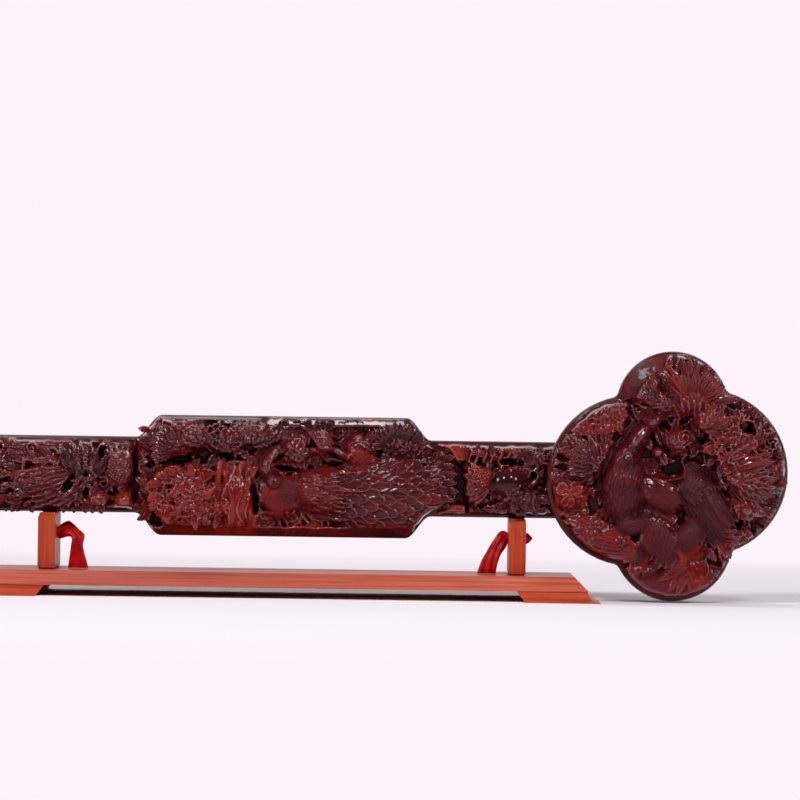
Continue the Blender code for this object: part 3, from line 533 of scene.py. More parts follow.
def foliage(f, x, z, half_length, half_width, count, length, width, lift, tone=0.45, turn=None):
    """Small leaves scattered over an ellipse, from seeded noise."""
    for _ in range(count):
        r, a = math.sqrt(f.pick()), f.pick() * 2 * math.pi
        at_x, at_z = x + half_length * r * math.cos(a), z + half_width * r * math.sin(a)
        lean = f.pick() * 360 if turn is None else turn + f.draw() * 28
        size = 0.7 + 0.6 * f.pick()
        shade, curve = tone + 0.12 * f.draw(), 0.12 * f.draw()
        f.stamp(at_x, at_z, lean, length * size, width * size, LEAF, lift, curve, shade)


def scales(f, x, z, half_length, half_width, turn, size, lift, tone=0.5):
    """Staggered rows of small scales over an ellipse, pointing along turn."""
    c, s = heading(turn)
    rows = int(half_length / (0.5 * size))
    for row in range(-rows, rows + 1):
        along = row * 0.5 * size
        half = half_width * math.sqrt(max(1 - (along / half_length) ** 2, 0))
        count = int(half / (0.42 * size))
        for k in range(-count, count + 1):
            across = (k + 0.5 * (row % 2)) * 0.84 * size
            if abs(across) < half:
                at_x, at_z = x + along * c - across * s, z + along * s + across * c
                f.stamp(at_x, at_z, turn, size, size * 0.95, SCALE, lift, 0, tone)


# The head: a phoenix before peonies and leaves


# The rounded forms under the motifs: x, z, half length, half width, turn and height
HEAD_FORMS = (
    (-27, -3, 23, 14, 86, 16.5), (-27, 13, 13, 9, 58, 15.5), (-19, 26, 13, 6, 52, 15),
    (-10, 36, 8, 6, 30, 14), (23, -14, 29, 15, -50, 14.5), (-4, -36, 26, 14, -58, 12),
    (-21, -25, 12, 8.5, 12, 13), (13, -32, 14, 11, 62, 12.6), (-5, -6, 19, 13, -30, 13),
    (39, 24, 20, 19, 0, 14), (24, 40, 17, 8.5, 60, 13.5), (12, 57, 26, 18, -50, 11.5),
    (-16, 64, 22, 13, 35, 6.5), (-11, 50, 17, 10, -20, 11.5), (-40, 34, 23, 17, 45, 9),
    (-59, -7, 13, 9.5, 0, 11.5), (-47, 14, 18, 13, 30, 10.5), (-38, -34, 28, 15, -25, 8),
    (48, 2, 22, 15, 10, 13), (45, -16, 11, 9, -30, 12.5), (6, 25, 12, 9, 20, 12.5), (-2, -58, 34, 17, 5, 6.5),
    (36, -36, 18, 13, 20, 8.5), (0, 0, 68, 66, 0, 5),
)


# Florets, as place and radius, and beads of the left lobe
FLORETS = ((-33, 46, 4.5), (-44, 40, 4.2), (-36, 36, 3.8), (-51, 32, 4.4), (-41, 28, 3.6), (-29, 38, 3.8))
BEADS = ((-47, 46), (-56, 25), (-34, 30), (-26, 46), (-46, 34), (-38, 48))


def carve_head(f):
    f.settle(HEAD_FORMS, 1.1, 1.5)
    thicket(f, 6, 12, 5.4, 2.6, lambda x, z: turn_of(x - 6, z - 4), 0.5)

    # Leaf spray of the top lobe
    # The higher tones of this spray are partly painted light falling from above.
    for k in range(15):
        long, lift = 28 + 5 * math.sin(k * 1.7), 3.4 + 0.9 * (k % 2)
        f.stamp(13 + 0.2 * k, 43, 132 - 8.2 * k, long, 6.6, BLADE, lift, 0.08, 0.62)
    for k in range(11):
        f.stamp(14, 44, 128 - 11 * k, 16 + 3 * (k % 3), 4.6, BLADE, 5.4, 0.1, 0.7)
    spray(f, [(2, 42), (-9, 50), (-22, 59)], 9, 4, 4, 0.45)
    spray(f, [(3, 46), (-4, 54), (-9, 65)], 8, 3.6, 3.8, 0.45)
    foliage(f, -4, 44, 15, 7, 16, 10, 5.2, 3.6, 0.4)
    foliage(f, 26, 52, 12, 11, 16, 13, 5.6, 4, 0.65, 50)
    for k in range(7):
        f.stamp(8 + 2.4 * k, 36 + 2 * (k % 3), 112 - 9 * k, 16, 5.4, LEAF, 5.6, 0.12, 0.62)

    # Peony of the right lobe, its hollow and the leaves above it
    fan(f, 19, 31, 5, 100, 7, 19, 7.5, LEAF, 5, 0.1, 0.7)
    foliage(f, 57, 22, 10, 22, 26, 14, 6, 4.2, 0.6, 30)
    peony(f, 39, 20, 19, 7.5, 0.6, 20)
    f.hollow(45.5, 33.5, 4.6, 4.6, 0, 1.6, 0.5)
    fan(f, 41.5, 37.5, 40, 200, 7, 8, 5, PETAL, 5, 0, 0.6)
    fan(f, 50.5, 32, -70, 80, 6, 9, 5, PETAL, 5, 0, 0.6)
    ruffles(f, 55, 22, 9, 14, 10, 5, 0.6)

    # Leaf sprays that point right
    fan(f, 24, 12, -32, 12, 7, 36, 7, BLADE, 5, 0.08, 0.5)
    foliage(f, 52, -10, 17, 13, 24, 14, 6, 3.8, 0.5, -20)
    fan(f, 38, 2, -50, 25, 7, 24, 6, LEAF, 6.2, 0.1, 0.55)
    for k in range(6):
        f.stamp(45, -15, 60 * k, 7, 6, PETAL, 4.2, 0, 0.7)
    f.stamp(40.5, -15.5, 0, 9, 7, DOME, 6, 0, 0.6)
    fan(f, 30, -36, -70, 60, 7, 14, 6, LEAF, 3.4, 0.1, 0.6)

    # Branch between the phoenix and the peony, and the comb-like fan left of it
    # The branch's dark tone is painted shade, for the dark crevice band it lies in.
    f.ridge([(8, 36), (15, 27), (24, 12), (33, -3)], 5, 3.6, (1, 0.7), 0.2)
    fan(f, 0, 20, -10, 110, 9, 13, 4.2, FEATHER, 5, 0.2, 0.5)
    scroll(f, 8, 27, 4.6, 1.6, 5.8, 1.5, 40, 1, 0.55)

    # Left lobe: florets, leaves, the round bloom and the flutes under it
    foliage(f, -44, 38, 16, 13, 34, 8.5, 4.4, 2.4, 0.58)
    for x, z, r in FLORETS:
        floret(f, x, z, r, 2.8, 0.65, 30 * x)
    for x, z in BEADS:
        f.stamp(x - 1.7, z, 0, 3.4, 3.4, DOME, 4.4, 0, 0.7)
    fan(f, -36, 6, 105, 205, 9, 25, 6.4, LEAF, 4.4, 0.1, 0.42)
    spray(f, [(-34, 8), (-46, 15), (-62, 22)], 11, 5, 4.6, 0.5)
    for k in range(6):
        f.stamp(-60, -7, 80 + 60 * k, 14, 12, PETAL, 3.2, 0, 0.84)
    for k in range(3):
        f.stamp(-59, -7, 40 + 110 * k, 9, 9, PETAL, 5, 0, 0.84)
    for k in range(10):
        drop = 3.2 * k
        course = [(-63 + 2 * k, -16 - drop), (-46 + k, -21 - 0.9 * drop), (-28 + k, -30 - 0.6 * drop)]
        f.ridge(course + [(-13, -44 - 0.4 * drop)], 3.8, 2.6, (0.7, 1), 0.68)

    # Bottom lobe: faint leaves on a smooth ground
    f.bare(-2, -62, 28, 12, 4, 0.5)
    # The orange-red tones of this patch and of the motifs on it are painted warm bounce light from below.
    f.bare(10, -53, 15, 8, 10, 0.86)
    fan(f, 14, -46, 195, 335, 9, 23, 6.4, BLADE, 1.5, 0.1, 0.66)
    foliage(f, 20, -56, 13, 8, 16, 6, 3, 1.6, 0.8)
    f.ridge([(-24, -41), (-20, -45.5), (-13, -46)], 1.8, 2.4, (0.6, 0.6), 0.6)

    # Hollows behind the birds
    f.hollow(-42, -8, 2.8, 14, 8, 3, 0.7)
    f.hollow(24, 13, 11, 2.2, -54, 4.5, 0.7)
    f.hollow(40, -24.6, 5.6, 3, 0, 2.4, 0.6)
    f.hollow(-25, 35, 2.6, 6, -30, 4, 0.7)
    f.hollow(9, 37, 5, 2, 30, 4.5, 0.7)

    # The phoenix, from its lowest feathers up
    f.bare(23, -14, 27, 12, -50, 0.26)
    f.bare(-5, -32, 20, 11, -58, 0.34)
    f.bare(-10, -4, 17, 9, -24, 0.36)
    f.bare(-27, -2, 25, 12.5, 86, 0.36, 0.5)
    f.bare(-19, 25, 15, 5.8, 52, 0.32, 0.8)
    quills(f, (-8, -18, 10, -26), (-22, -42, 0, -50), 8, 5, 3, 0.06, 0.34)
    quills(f, (-16, 3, -12, -14), (10, -3, 4, -24), 8, 4.4, 1.8, -0.14, 0.42)
    quills(f, (6, -2, 22, 6), (22, -42, 40, -27), 9, 5.4, 3, 0.08, 0.26, 0.04)
    quills(f, (5, 0, 20, 11), (14, -14, 28, -2), 9, 3.8, 3.4, 0.06, 0.26, 0.14)

    # Dotted shoulders of its wings, and under the right one a smooth bulge whose orange-red tone is painted
    # warm bounce light
    f.bare(15, 5, 11, 8, -55, 0.3, 1.8)
    f.bare(13.5, -41.5, 10.5, 6.5, 4, 0.86, 0.9)
    f.bare(13.5, -30, 14, 8.5, 64, 0.36, 1.8)
    f.bare(-21, -25, 12.5, 7.2, 14, 0.38, 1.6)

    # Fine flowing lines of its body and neck
    body = [(-13, 34), (-21, 25), (-27, 12), (-28, -3), (-25, -19)]
    plumage(f, body, [4.4, 5.8, 10.5, 12.4, 8.5], 10, 4, FEATHER, 1.7, 0.36, 0.25, 0.42)
    f.etch(-27, -4, 20, 12.4, 82, 2, 0.26, 0.3, 2.6)
    f.etch(23, -16, 26, 11, -50, 2.2, 0.24, 0, 9)
    f.etch(-2, -10, 13, 7, -22, 1.8, 0.22, 0, 9)
    f.etch(-5, -36, 15, 9, -64, 2.2, 0.24, 0, 9)
    f.speckle(17, 1, 15, 8, -55, 1.9, 0.3)
    f.speckle(13.5, -30, 14.5, 8.6, 64, 1.9, 0.3)
    f.speckle(-21, -25, 12.5, 7.4, 14, 1.9, 0.3)
    for k in range(6):
        course = [(-35 + 2.6 * k, 11 + 0.4 * k), (-30 + 2 * k, 18), (-22 + 1.5 * k, 27 - 0.4 * k)]
        course.append((-12 + 0.8 * k, 35.5 - 0.6 * k))
        f.ridge(course, 2.2, 2 + 0.6 * math.sin(math.pi * k / 5), (0.1, 0.9), 0.42)
    f.stamp(-15, 32.5, 38, 12, 8.6, DOME, 4.4, 0, 0.32)
    f.ridge([(-7, 38), (-2, 37.5), (1, 33)], 3.2, 4.4, (1.1, 0.35), 0.4)
    f.stamp(-10.6, 37.2, 0, 2, 2, DOME, 6, 0, 0.1)
    for k in range(3):
        bow = 2.6 * k
        course = [(-11, 39.5), (-17 - bow * 0.4, 42 + bow * 0.8), (-24 - bow * 0.2, 39.5 + bow)]
        f.ridge(course, 1.9, 3.6, (0.9, 0.4), 0.4)

    # The hole between body and wing, with the berry beside it
    f.bare(-11, 10, 6, 6, 0, 0.4)
    f.hollow(1.5, 8, 7, 4.4, 4, 0.6, 0.3)
    f.ridge([(-9, 2.5), (-2, 1.6), (6, 2.8), (9.5, 7)], 1.8, 2, (0.6, 0.8), 0.5)
    f.ridge([(10, 17), (7.5, 13), (9, 8), (8.5, 3)], 2.2, 4.2, (0.9, 0.7), 0.45)
    f.stamp(-10.6, 16.5, 20, 7.5, 7, DOME, 5.6, 0, 0.55)


def leaves_on_head(f, leaf):
    """Free leaves and petals that stand clear of the head's relief."""
    for k in range(13):
        turn = 118 - 8 * k
        c, s = heading(turn)
        leaf(14 + 6 * c, 44 + 6 * s, turn + 4 * f.draw(), 22 + 4 * f.pick(), 5, 22, 30, "blade", 0.65)
    for k in range(7):
        turn = 158 - 12 * k
        leaf(-7 - 0.5 * k, 47 + 1.4 * k, turn, 12, 5, 24, 40, "leaf", 0.5)
    for k in range(24):
        x, z = f.outline[int((0.165 + 0.36 * k / 23) * len(f.outline))]
        turn = turn_of(x, z - 2)
        c, s = heading(turn)
        long, kind = 7.4 + 2.2 * f.pick(), "leaf" if k % 2 else "blade"
        leaf(x - 6.5 * c, z - 6.5 * s, turn + 20 * f.draw(), long, 4.4, 10, 40, kind, 0.5)
    for k in range(11):
        turn = 33 * k + 10 * f.draw()
        c, s = heading(turn)
        leaf(39 + 13 * c, 20 + 12 * s, turn + 40, 8.5 + 2 * f.pick(), 4.6, 26, 50, "leaf", 0.5)
    for k in range(9):
        turn = -46 + 9 * k
        c, s = heading(turn)
        leaf(31 + 5 * c, 4 + 8 * s, turn, 25 + 3 * (k % 2), 6.4, 14, 32, "blade", 0.5)
    for k in range(8):
        turn = 110 + 12 * k
        c, s = heading(turn)
        leaf(-42 + 4 * c, 9 + 5 * s, turn, 15, 5.6, 22, 40, "leaf", 0.45)
    for k in range(7):
        turn = 8 + 14 * k
        leaf(22, 34, turn, 13 + 2 * (k % 2), 6, 26, 46, "leaf", 0.7)
    for k in range(6):
        leaf(34 - k, -35 + k, -75 + 24 * k, 11, 5, 18, 40, "leaf", 0.6)


# The middle plaque: peonies and rock at the left, a phoenix with a long tail at the right


# As above. The first form also has its own roundness
PLAQUE_FORMS = (
    (-1.5, -11, 14, 13.5, 0, 14, 0.22),
    (-60, -12, 24, 23, 0, 15.5), (-62, 22, 26, 12, 3, 14.5), (-28, -13, 14, 23, 0, 13.5),
    (-22, 23, 28, 11, 0, 13.5), (-8, 8, 12, 8, 60, 16), (8, 16, 12, 11, 0, 14.5), (22, 21, 11, 11, 70, 14.5),
    (46, 15, 12, 13, 0, 15.5), (24, -7, 24, 16, -5, 16.5), (62, -8, 47, 28, 0, 15.5),
    (72, 24, 19, 13, -15, 14), (0, 0, 100, 36, 0, 8),
)


# Curled leaves at the left end: place, radius and start
PLAQUE_CURLS = (
    (-72, -2, 4.8, 40), (-71, -17, 4.6, 200), (-43, -6, 4.8, 90), (-60, -28, 4.6, 0), (-50, -30, 4.4, 150),
    (-45, -24, 4.2, 40), (-56, -20, 4.4, 250),
)


def carve_plaque(f):
    f.settle(PLAQUE_FORMS, 1.1, 1.6)
    thicket(f, 6, 12.5, 5.6, 2.8, lambda x, z: 150 if x < -35 else 35, 0.5, 50)

    # Leaves and peony of the left end
    fan(f, -56, 15, 100, 205, 9, 25, 8.6, LEAF, 4.6, 0.14, 0.45)
    fan(f, -48, 17, 40, 150, 8, 17, 7.4, LEAF, 5, 0.14, 0.4)
    foliage(f, -66, 22, 20, 11, 22, 13, 7, 4.4, 0.42, 120)
    foliage(f, -30, 25, 22, 9, 26, 12.5, 6.6, 4.2, 0.35, 60)
    fan(f, -38, 14, 10, 120, 7, 16, 7, LEAF, 5.4, 0.1, 0.4)
    ruffles(f, -38, 25, 9, 12, 13, 5.4, 0.35)
    ruffles(f, -66, 25, 9, 12, 13, 6, 0.42)
    foliage(f, -60, -14, 24, 20, 32, 14, 7.2, 4.4, 0.7)
    peony(f, -62, -9, 18, 6, 0.8, 10, 0.85)
    peony(f, -46, -20, 12, 5, 0.78, 40, 0.9)
    fan(f, -46, -13, 150, 280, 8, 19, 6.6, BLADE, 4.8, 0.2, 0.76)
    for x, z, r, start in PLAQUE_CURLS:
        scroll(f, x, z, r, 2.5, 6, 1.2, start, 1, 0.76)

    # Fluted rock: broad strands that fall down and run together
    for k in range(6):
        x = -39 + 4.2 * k
        lean = 1.5 * math.sin(k * 2.1)
        course = [(x + 1.5, 8 - 1.4 * (k % 3)), (x + lean, -4), (x - lean, -17), (x + 1.2 + lean, -35)]
        wide, lift = 6.6 + 0.8 * math.sin(1.9 * k), 3.6 + math.cos(2.6 * k)
        f.ridge(course, wide, lift, (0.7, 1), 0.84 + 0.08 * math.sin(2.2 * k))
    for k in range(4):
        x = -36.5 + 5.2 * k
        low = -22 - 12 * abs(math.sin(1.3 * k))
        course = [(x, 5), (x + 2.6, -5), (x - 0.8, low + 8), (x + 2.8, low)]
        f.ridge(course, 3.4, 5, (0.4, 1), 0.78)
    for k in range(3):
        course = [(-33 + 6 * k, -14), (-31 + 6 * k, -23), (-33 + 6.5 * k, -33)]
        f.ridge(course, 4.8, 5.2, (0.3, 1), 0.92)

    # Waves under the bird
    for k in range(12):
        x = -14 + 4.2 * k
        f.ridge([(x, -22), (x + 4.5, -29), (x + 3, -35)], 3.4, 2.6, (1, 0.5), 0.68)

    # The tail: rows of plumes, each with a raised rim
    tail = [(14, -6), (40, -8), (66, -9), (86, -8), (101, -6)]
    f.bare(60, -8, 47, 27, 0, 0.42)
    plumage(f, tail, [10, 22, 26, 25, 18], 13, 8, PLUME, 3.2, 0.42, 0.45, 0.5)
    quills(f, (6, -20, 8, 3), (34, -24, 38, 5), 12, 3.2, 4.2, -0.06, 0.56, 0.16)
    quills(f, (6, -17, 8, 1), (21, -19, 25, 3), 11, 2.8, 5.2, -0.06, 0.58, 0.16)

    # Breast, neck and head of the phoenix
    f.bare(-1.5, -11, 13.8, 13.2, 0, 0.64, 1.8)
    f.bare(4, -7.5, 8.5, 9.5, -10, 0.46, 2.6)
    f.etch(-3, -13, 11, 10, 60, 2.2, 0.2, 0.2, 4)
    f.etch(4, -7.5, 8.4, 9.4, -20, 1.9, 0.26, 0.2, 3.4)
    neck = [(-5, -2), (-10, 4), (-10, 10), (-4, 16), (4, 18)]
    f.ridge(neck, 10.5, 4.4, (1.1, 0.6), 0.45)
    for k in range(4):
        strand = [(x + (k - 1.5) * 1.9, z + (1.5 - k) * 0.8) for x, z in neck]
        f.ridge(strand, 1.6, 5.6, (1, 0.5), 0.45)
    f.ridge([(3, 18), (8, 16), (11, 13)], 3.4, 5.4, (1, 0.4), 0.5)
    fan(f, 8, 15, 20, 330, 9, 9.5, 5.4, PETAL, 4.6, 0.1, 0.5)
    ruffles(f, 8, 16, 7, 12, 13, 5.4, 0.5)

    # Fan of strands, pale bill, red bird and its crest
    for k in range(7):
        course = [(11 + 2.2 * k, 30.5 - 0.3 * k), (17 + 1.9 * k, 24 - 0.2 * k), (22 + 1.6 * k, 17 + 0.5 * k)]
        f.ridge(course, 1.7, 5, (0.8, 0.9), 0.56)
    f.bare(46, 12, 8.5, 8, 20, 0.74, 1)
    fan(f, 46, 8, 10, 170, 7, 10, 5, PETAL, 3, 0.1, 0.74)
    f.speckle(46, 10, 7.5, 6.5, 10, 2, 0.2)
    f.stamp(40.2, 24, 0, 7.6, 7.2, DOME, 5, 0, 0.55)
    f.ridge([(22, 17.5), (30, 16.5), (38, 12)], 5.4, 6.4, (0.7, 1), 0.4)
    fan(f, 50, 19, 20, 80, 5, 11, 4.2, FEATHER, 5, 0.1, 0.5)

    # Knobs along the top edge and the leafy end at the right
    for k in range(8):
        x = 1 + 6 * k
        f.stamp(x - 3.4, 30 + 0.8 * math.sin(2 * k), 8 * k, 7, 5.8, DOME, 5, 0, 0.12)
        floret(f, x + 1.2, 27, 4.2, 4, 0.35, 25 * k)
    fan(f, 64, 14, 30, 150, 10, 21, 6.4, LEAF, 5.4, 0.1, 0.3)
    fan(f, 76, 12, 0, 110, 8, 17, 6, LEAF, 5.4, 0.1, 0.35)
    foliage(f, 72, 22, 16, 10, 22, 11, 5.4, 4.4, 0.3, 50)

    # Deep hollows
    pierced(f, -64, 9, 11, 2.2, 8, 2.6, 6, 0.45)
    pierced(f, -30, 11.5, 8, 2.2, -8, 2.6, 5, 0.4)
    f.hollow(-17, -12, 2.2, 13, 6, 2.4, 0.6)
    f.hollow(2, 5, 7.5, 2, -6, 3.4, 0.6)
    f.hollow(29.5, 8.5, 6, 2, 0, 3.2, 0.6)
    f.hollow(57.5, 17, 1.8, 6, -14, 3.2, 0.6)
    f.ridge([(24, 17.5), (31, 16.5), (38, 12)], 5.2, 6.4, (0.7, 1), 0.45)


def leaves_on_plaque(f, leaf):
    """Free leaves and petals that stand clear of the plaque's relief."""
    for k in range(9):
        turn = 105 + 12 * k
        c, s = heading(turn)
        leaf(-60 + 7 * c, 15 + 4 * s, turn + 6 * f.draw(), 12 + 3 * f.pick(), 6.4, 24, 60, "leaf", 0.45)
    for k in range(10):
        leaf(-44 + 4.6 * k + f.draw(), 19 + 3 * f.pick(), 70 + 45 * f.draw(), 10.5, 6.4, 20, 52, "leaf", 0.35)
    for k in range(14):
        turn = 26 * k + 12 * f.draw()
        c, s = heading(turn)
        leaf(-61 + 13 * c, -11 + 11 * s, turn + 45, 8 + 2 * f.pick(), 4.6, 22, 46, "blade", 0.8)
    for k in range(12):
        x, z = -48 + 4 * f.draw(), -16 + 5 * f.draw()
        leaf(x, z, 160 + 12 * k, 11 + 3 * f.pick(), 4.8, 24, 46, "leaf", 0.72)
    for k in range(15):
        turn = 15 + 11 * k
        c, s = heading(turn)
        leaf(70 + 9 * c, 19 + 4 * s, turn + 10 * f.draw(), 10 + 3 * f.pick(), 5, 28, 46, "leaf", 0.3)
    for k in range(19):
        z = 28.2 + 0.9 * math.sin(2.4 * k)
        leaf(-0.5 + 2.7 * k, z, 90 + 20 * f.draw(), 5.6, 4.8, 12, 30, "petal", 0.08)
    for k in range(9):
        leaf(-80 + 2 * f.draw(), 27 - 6.4 * k, 170 + 30 * f.draw(), 9, 5, 22, 42, "leaf", 0.5, 4)
    for k in range(9):
        leaf(95 + 2 * f.draw(), 16 - 4.4 * k, 20 - 6 * k, 9, 4.6, 18, 30, "leaf", 0.42, 3)


# The carvings of the handle


LEFT_FORMS = (
    (-152, 2, 34, 23, 0, 10.5), (-118, 4, 13, 20, 10, 11.5), (-98, 4, 12, 18, -12, 12.5),
    (-94, -16, 9, 8.5, 0, 11.5), (-110, -15, 10, 8, 10, 11), (-182, 0, 22, 23, 0, 8.5),
    (-140, 0, 60, 26, 0, 7),
)


LEFT_CURLS = (
    (-150, 15, 3.8), (-138, 12, 3.8), (-160, 10, 3.6), (-146, -6, 3.6), (-158, -12, 3.8), (-168, 16, 3.6),
)


def carve_left(f):
    f.settle(LEFT_FORMS, 1, 1.5)
    thicket(f, 4.4, 8.5, 3.8, 2.6, lambda x, z: 180 if z > 0 else 205, 0.48, 35)
    quills(f, (-126, 19, -130, 1), (-166, 22, -170, 4), 10, 5.4, 3.6, 0.08, 0.48)
    for k in range(9):
        f.stamp(-128 + k, 4 - 1.9 * k, 190 + 3.2 * k, 40 - k, 6.2, LEAF, 4.4, -0.08, 0.5)
    foliage(f, -158, 4, 28, 18, 60, 9, 4.2, 4.2, 0.45, 185)
    foliage(f, -186, 0, 12, 18, 30, 8, 3.6, 3, 0.45)
    for x, z, r in LEFT_CURLS:
        scroll(f, x, z, r, 2, 5.2, 1.3, 60 * x, 1, 0.5)
    for k in range(6):
        f.stamp(-127 + 3.8 * k, 0, 104 - 7 * k, 20, 7, LEAF, 5.4, 0.1, 0.15)
    foliage(f, -116, -6, 13, 10, 26, 7, 3.8, 4.2, 0.2, 260)
    for k in range(11):
        f.stamp(-96, -8, 62 + 8.4 * k, 26 - 0.5 * abs(k - 5), 5.4, LONG_FEATHER, 4.6, 0.04, 0.48)
    scales(f, -98, 5, 8, 7, -75, 3, 4.6, 0.5)
    scroll(f, -107, -5, 3.8, 2, 6, 1.2, 120, -1, 0.5)
    for k in range(6):
        f.stamp(-103, -14, 150 + 11 * k, 15, 4.2, BLADE, 4.8, 0.05, 0.6)
    f.stamp(-101, -16.5, 8, 14, 13, DOME, 4.6, 0, 0.9)
    fan(f, -91, -8, 200, 340, 6, 8, 5, PETAL, 4.6, 0.1, 0.6)
    pierced(f, -158, 4.5, 12, 2, 2, 2.4, 6, 0.45)
    pierced(f, -110, 8, 2, 10, -14, 1.8, 5, 0.3)
    pierced(f, -128, -6, 2.2, 8, -30, 1.8, 5, 0.4)


def leaves_on_left(f, leaf):
    for k in range(26):
        x, z = -132 - 42 * f.pick(), -16 + 34 * f.pick()
        turn = (165 if z > 0 else 205) + 22 * f.draw()
        leaf(x, z, turn, 9 + 4 * f.pick(), 4.6, 22, 40, "leaf", 0.48)
    for k in range(7):
        leaf(-126 + 3 * k, 2 - 2 * (k % 3), 112 - 9 * k, 15, 6, 22, 40, "leaf", 0.15)
    for k in range(20):
        x = -192 + 4.4 * k + 1.6 * f.draw()
        if abs(x + POST_X) > POST_CLEARANCE:
            long = 5.4 + 1.6 * f.pick()
            leaf(x, -18, -90 + 35 * f.draw(), long, 5.6, 10, 24, "leaf", 0.25, 2.4)


RIGHT_FORMS = (
    (118, -1, 14, 18, 0, 11), (134, -2, 14, 16, 15, 12.5), (126, 17, 23, 8, 0, 10),
    (148, -13, 15, 11, 0, 9.5), (156, 14, 13, 10, 0, 7.5), (168, 0, 12, 22, 0, 6), (138, 0, 38, 26, 0, 5.5),
    (98, 18, 14, 8, 0, 6.5), (98, -19, 14, 7, 0, 5),
)


def carve_right(f):
    f.settle(RIGHT_FORMS, 1, 1.5)
    thicket(f, 4.4, 8, 3.8, 2.4, lambda x, z: 60 if z > 0 else -60, 0.35, 45)
    for k in range(8):
        f.stamp(123, -2, 130 + 15 * k, 17 - 0.5 * (k % 2), 5.8, FEATHER, 4.6, 0.05, 0.55)
    scales(f, 120, 1, 6, 6, 160, 3, 5.4, 0.9)
    f.stamp(122, -3, 4, 26, 18, DOME, 3.8, 0, 0.2)
    f.ridge([(146, -5), (151, 0), (150, 5), (144, 7)], 5.6, 4.6, (1, 0.5), 0.25)
    for k in range(8):
        course = [(110 + 4.6 * k, 11), (112 + 4.6 * k, 17), (108 + 4.8 * k, 21)]
        f.ridge(course, 3.4, 4.8, (1, 0.6), 0.5)
    foliage(f, 124, 17, 22, 6, 30, 7, 3.6, 4.2, 0.5)
    foliage(f, 142, -14, 18, 8, 40, 8, 4, 4, 0.3)
    fan(f, 132, -10, -80, 20, 7, 20, 6, LEAF, 4.6, 0.1, 0.3)
    fan(f, 146, -16, -20, 120, 6, 10, 5.2, LEAF, 5.2, 0.1, 0.35)
    scroll(f, 157.5, 15, 5.6, 2, 3, 1.7, 200, 1, 0.5)
    fan(f, 146, 12, 60, 200, 6, 10, 4.8, LEAF, 4, 0.1, 0.4)
    pierced(f, 138, 10.5, 9, 2.2, -4, 1.6, 6, 0.4)
    f.hollow(150, 3, 2.6, 2.6, 0, 1.6, 0.6)

    # Bare red slabs beside the plumes, and the gap between plumes and carving, sunk and painted dark as shade
    for low, high, shade in ((11, 24, 1), (-24, -15, 0.8)):
        slab = (f.x < 109) & (f.z > low) & (f.z < high)
        f.height[slab], f.tone[slab], f.sunk[slab] = 6.4, shade, 0
    f.hollow(105.8, -3, 3.6, 14, 3, 1.2, 0.4)


def leaves_on_right(f, leaf):
    for k in range(16):
        x, z, turn = 128 + 28 * f.pick(), -17 + 8 * f.pick(), -40 + 50 * f.draw()
        leaf(x, z, turn, 8 + 3 * f.pick(), 4.6, 22, 40, "leaf", 0.3)
    for k in range(9):
        leaf(108 + 4.6 * k, 13 + 2 * f.pick(), 80 + 40 * f.draw(), 8, 4.4, 24, 44, "leaf", 0.4)


# The tail plate: one peony and leaves


TAIL_FORMS = (
    (1, 0, 24, 22, 0, 12), (6, 32, 18, 13, 60, 9), (-31, 3, 17, 13, 10, 9), (30, -5, 17, 13, -20, 9),
    (-5, -32, 18, 13, 20, 9), (0, 0, 44, 46, 0, 5.5),
)


def carve_tail(f):
    f.settle(TAIL_FORMS, 1.2, 1.4)
    thicket(f, 4.6, 8.5, 4, 2.6, turn_of, 0.5)
    for k in range(4):
        turn = 85 - 90 * k
        c, s = heading(turn)
        fan(f, 12 * c, 12 * s, turn - 62, turn + 62, 9, 28, 7.6, LEAF, 4.6, 0.1, 0.5)
        fan(f, 12 * c, 12 * s, turn - 40, turn + 40, 6, 20, 6.6, LEAF, 5.6, 0.1, 0.6)
    peony(f, 1, 0, 20, 7, 0.65, 15)


def leaves_on_tail(f, leaf):
    """Three rings of petals in the peony, and leaves round it."""
    for number, start, long, rise in ((10, 9.5, 11, 32), (8, 5.4, 9, 50), (5, 2.0, 7, 70)):
        for k in range(number):
            turn = 360 * k / number + 6 * f.draw() + 20 * start
            c, s = heading(turn)
            leaf(1 + start * c, start * s, turn, long, 9, rise, 50, "petal", 0.65)
    for k in range(28):
        turn = 360 * k / 28
        c, s = heading(turn)
        further = 3 * (k % 2)
        leaf((24 + further) * c, (25 + further) * s, turn + 8 * f.draw(), 13, 6, 20, 38, "leaf", 0.5)


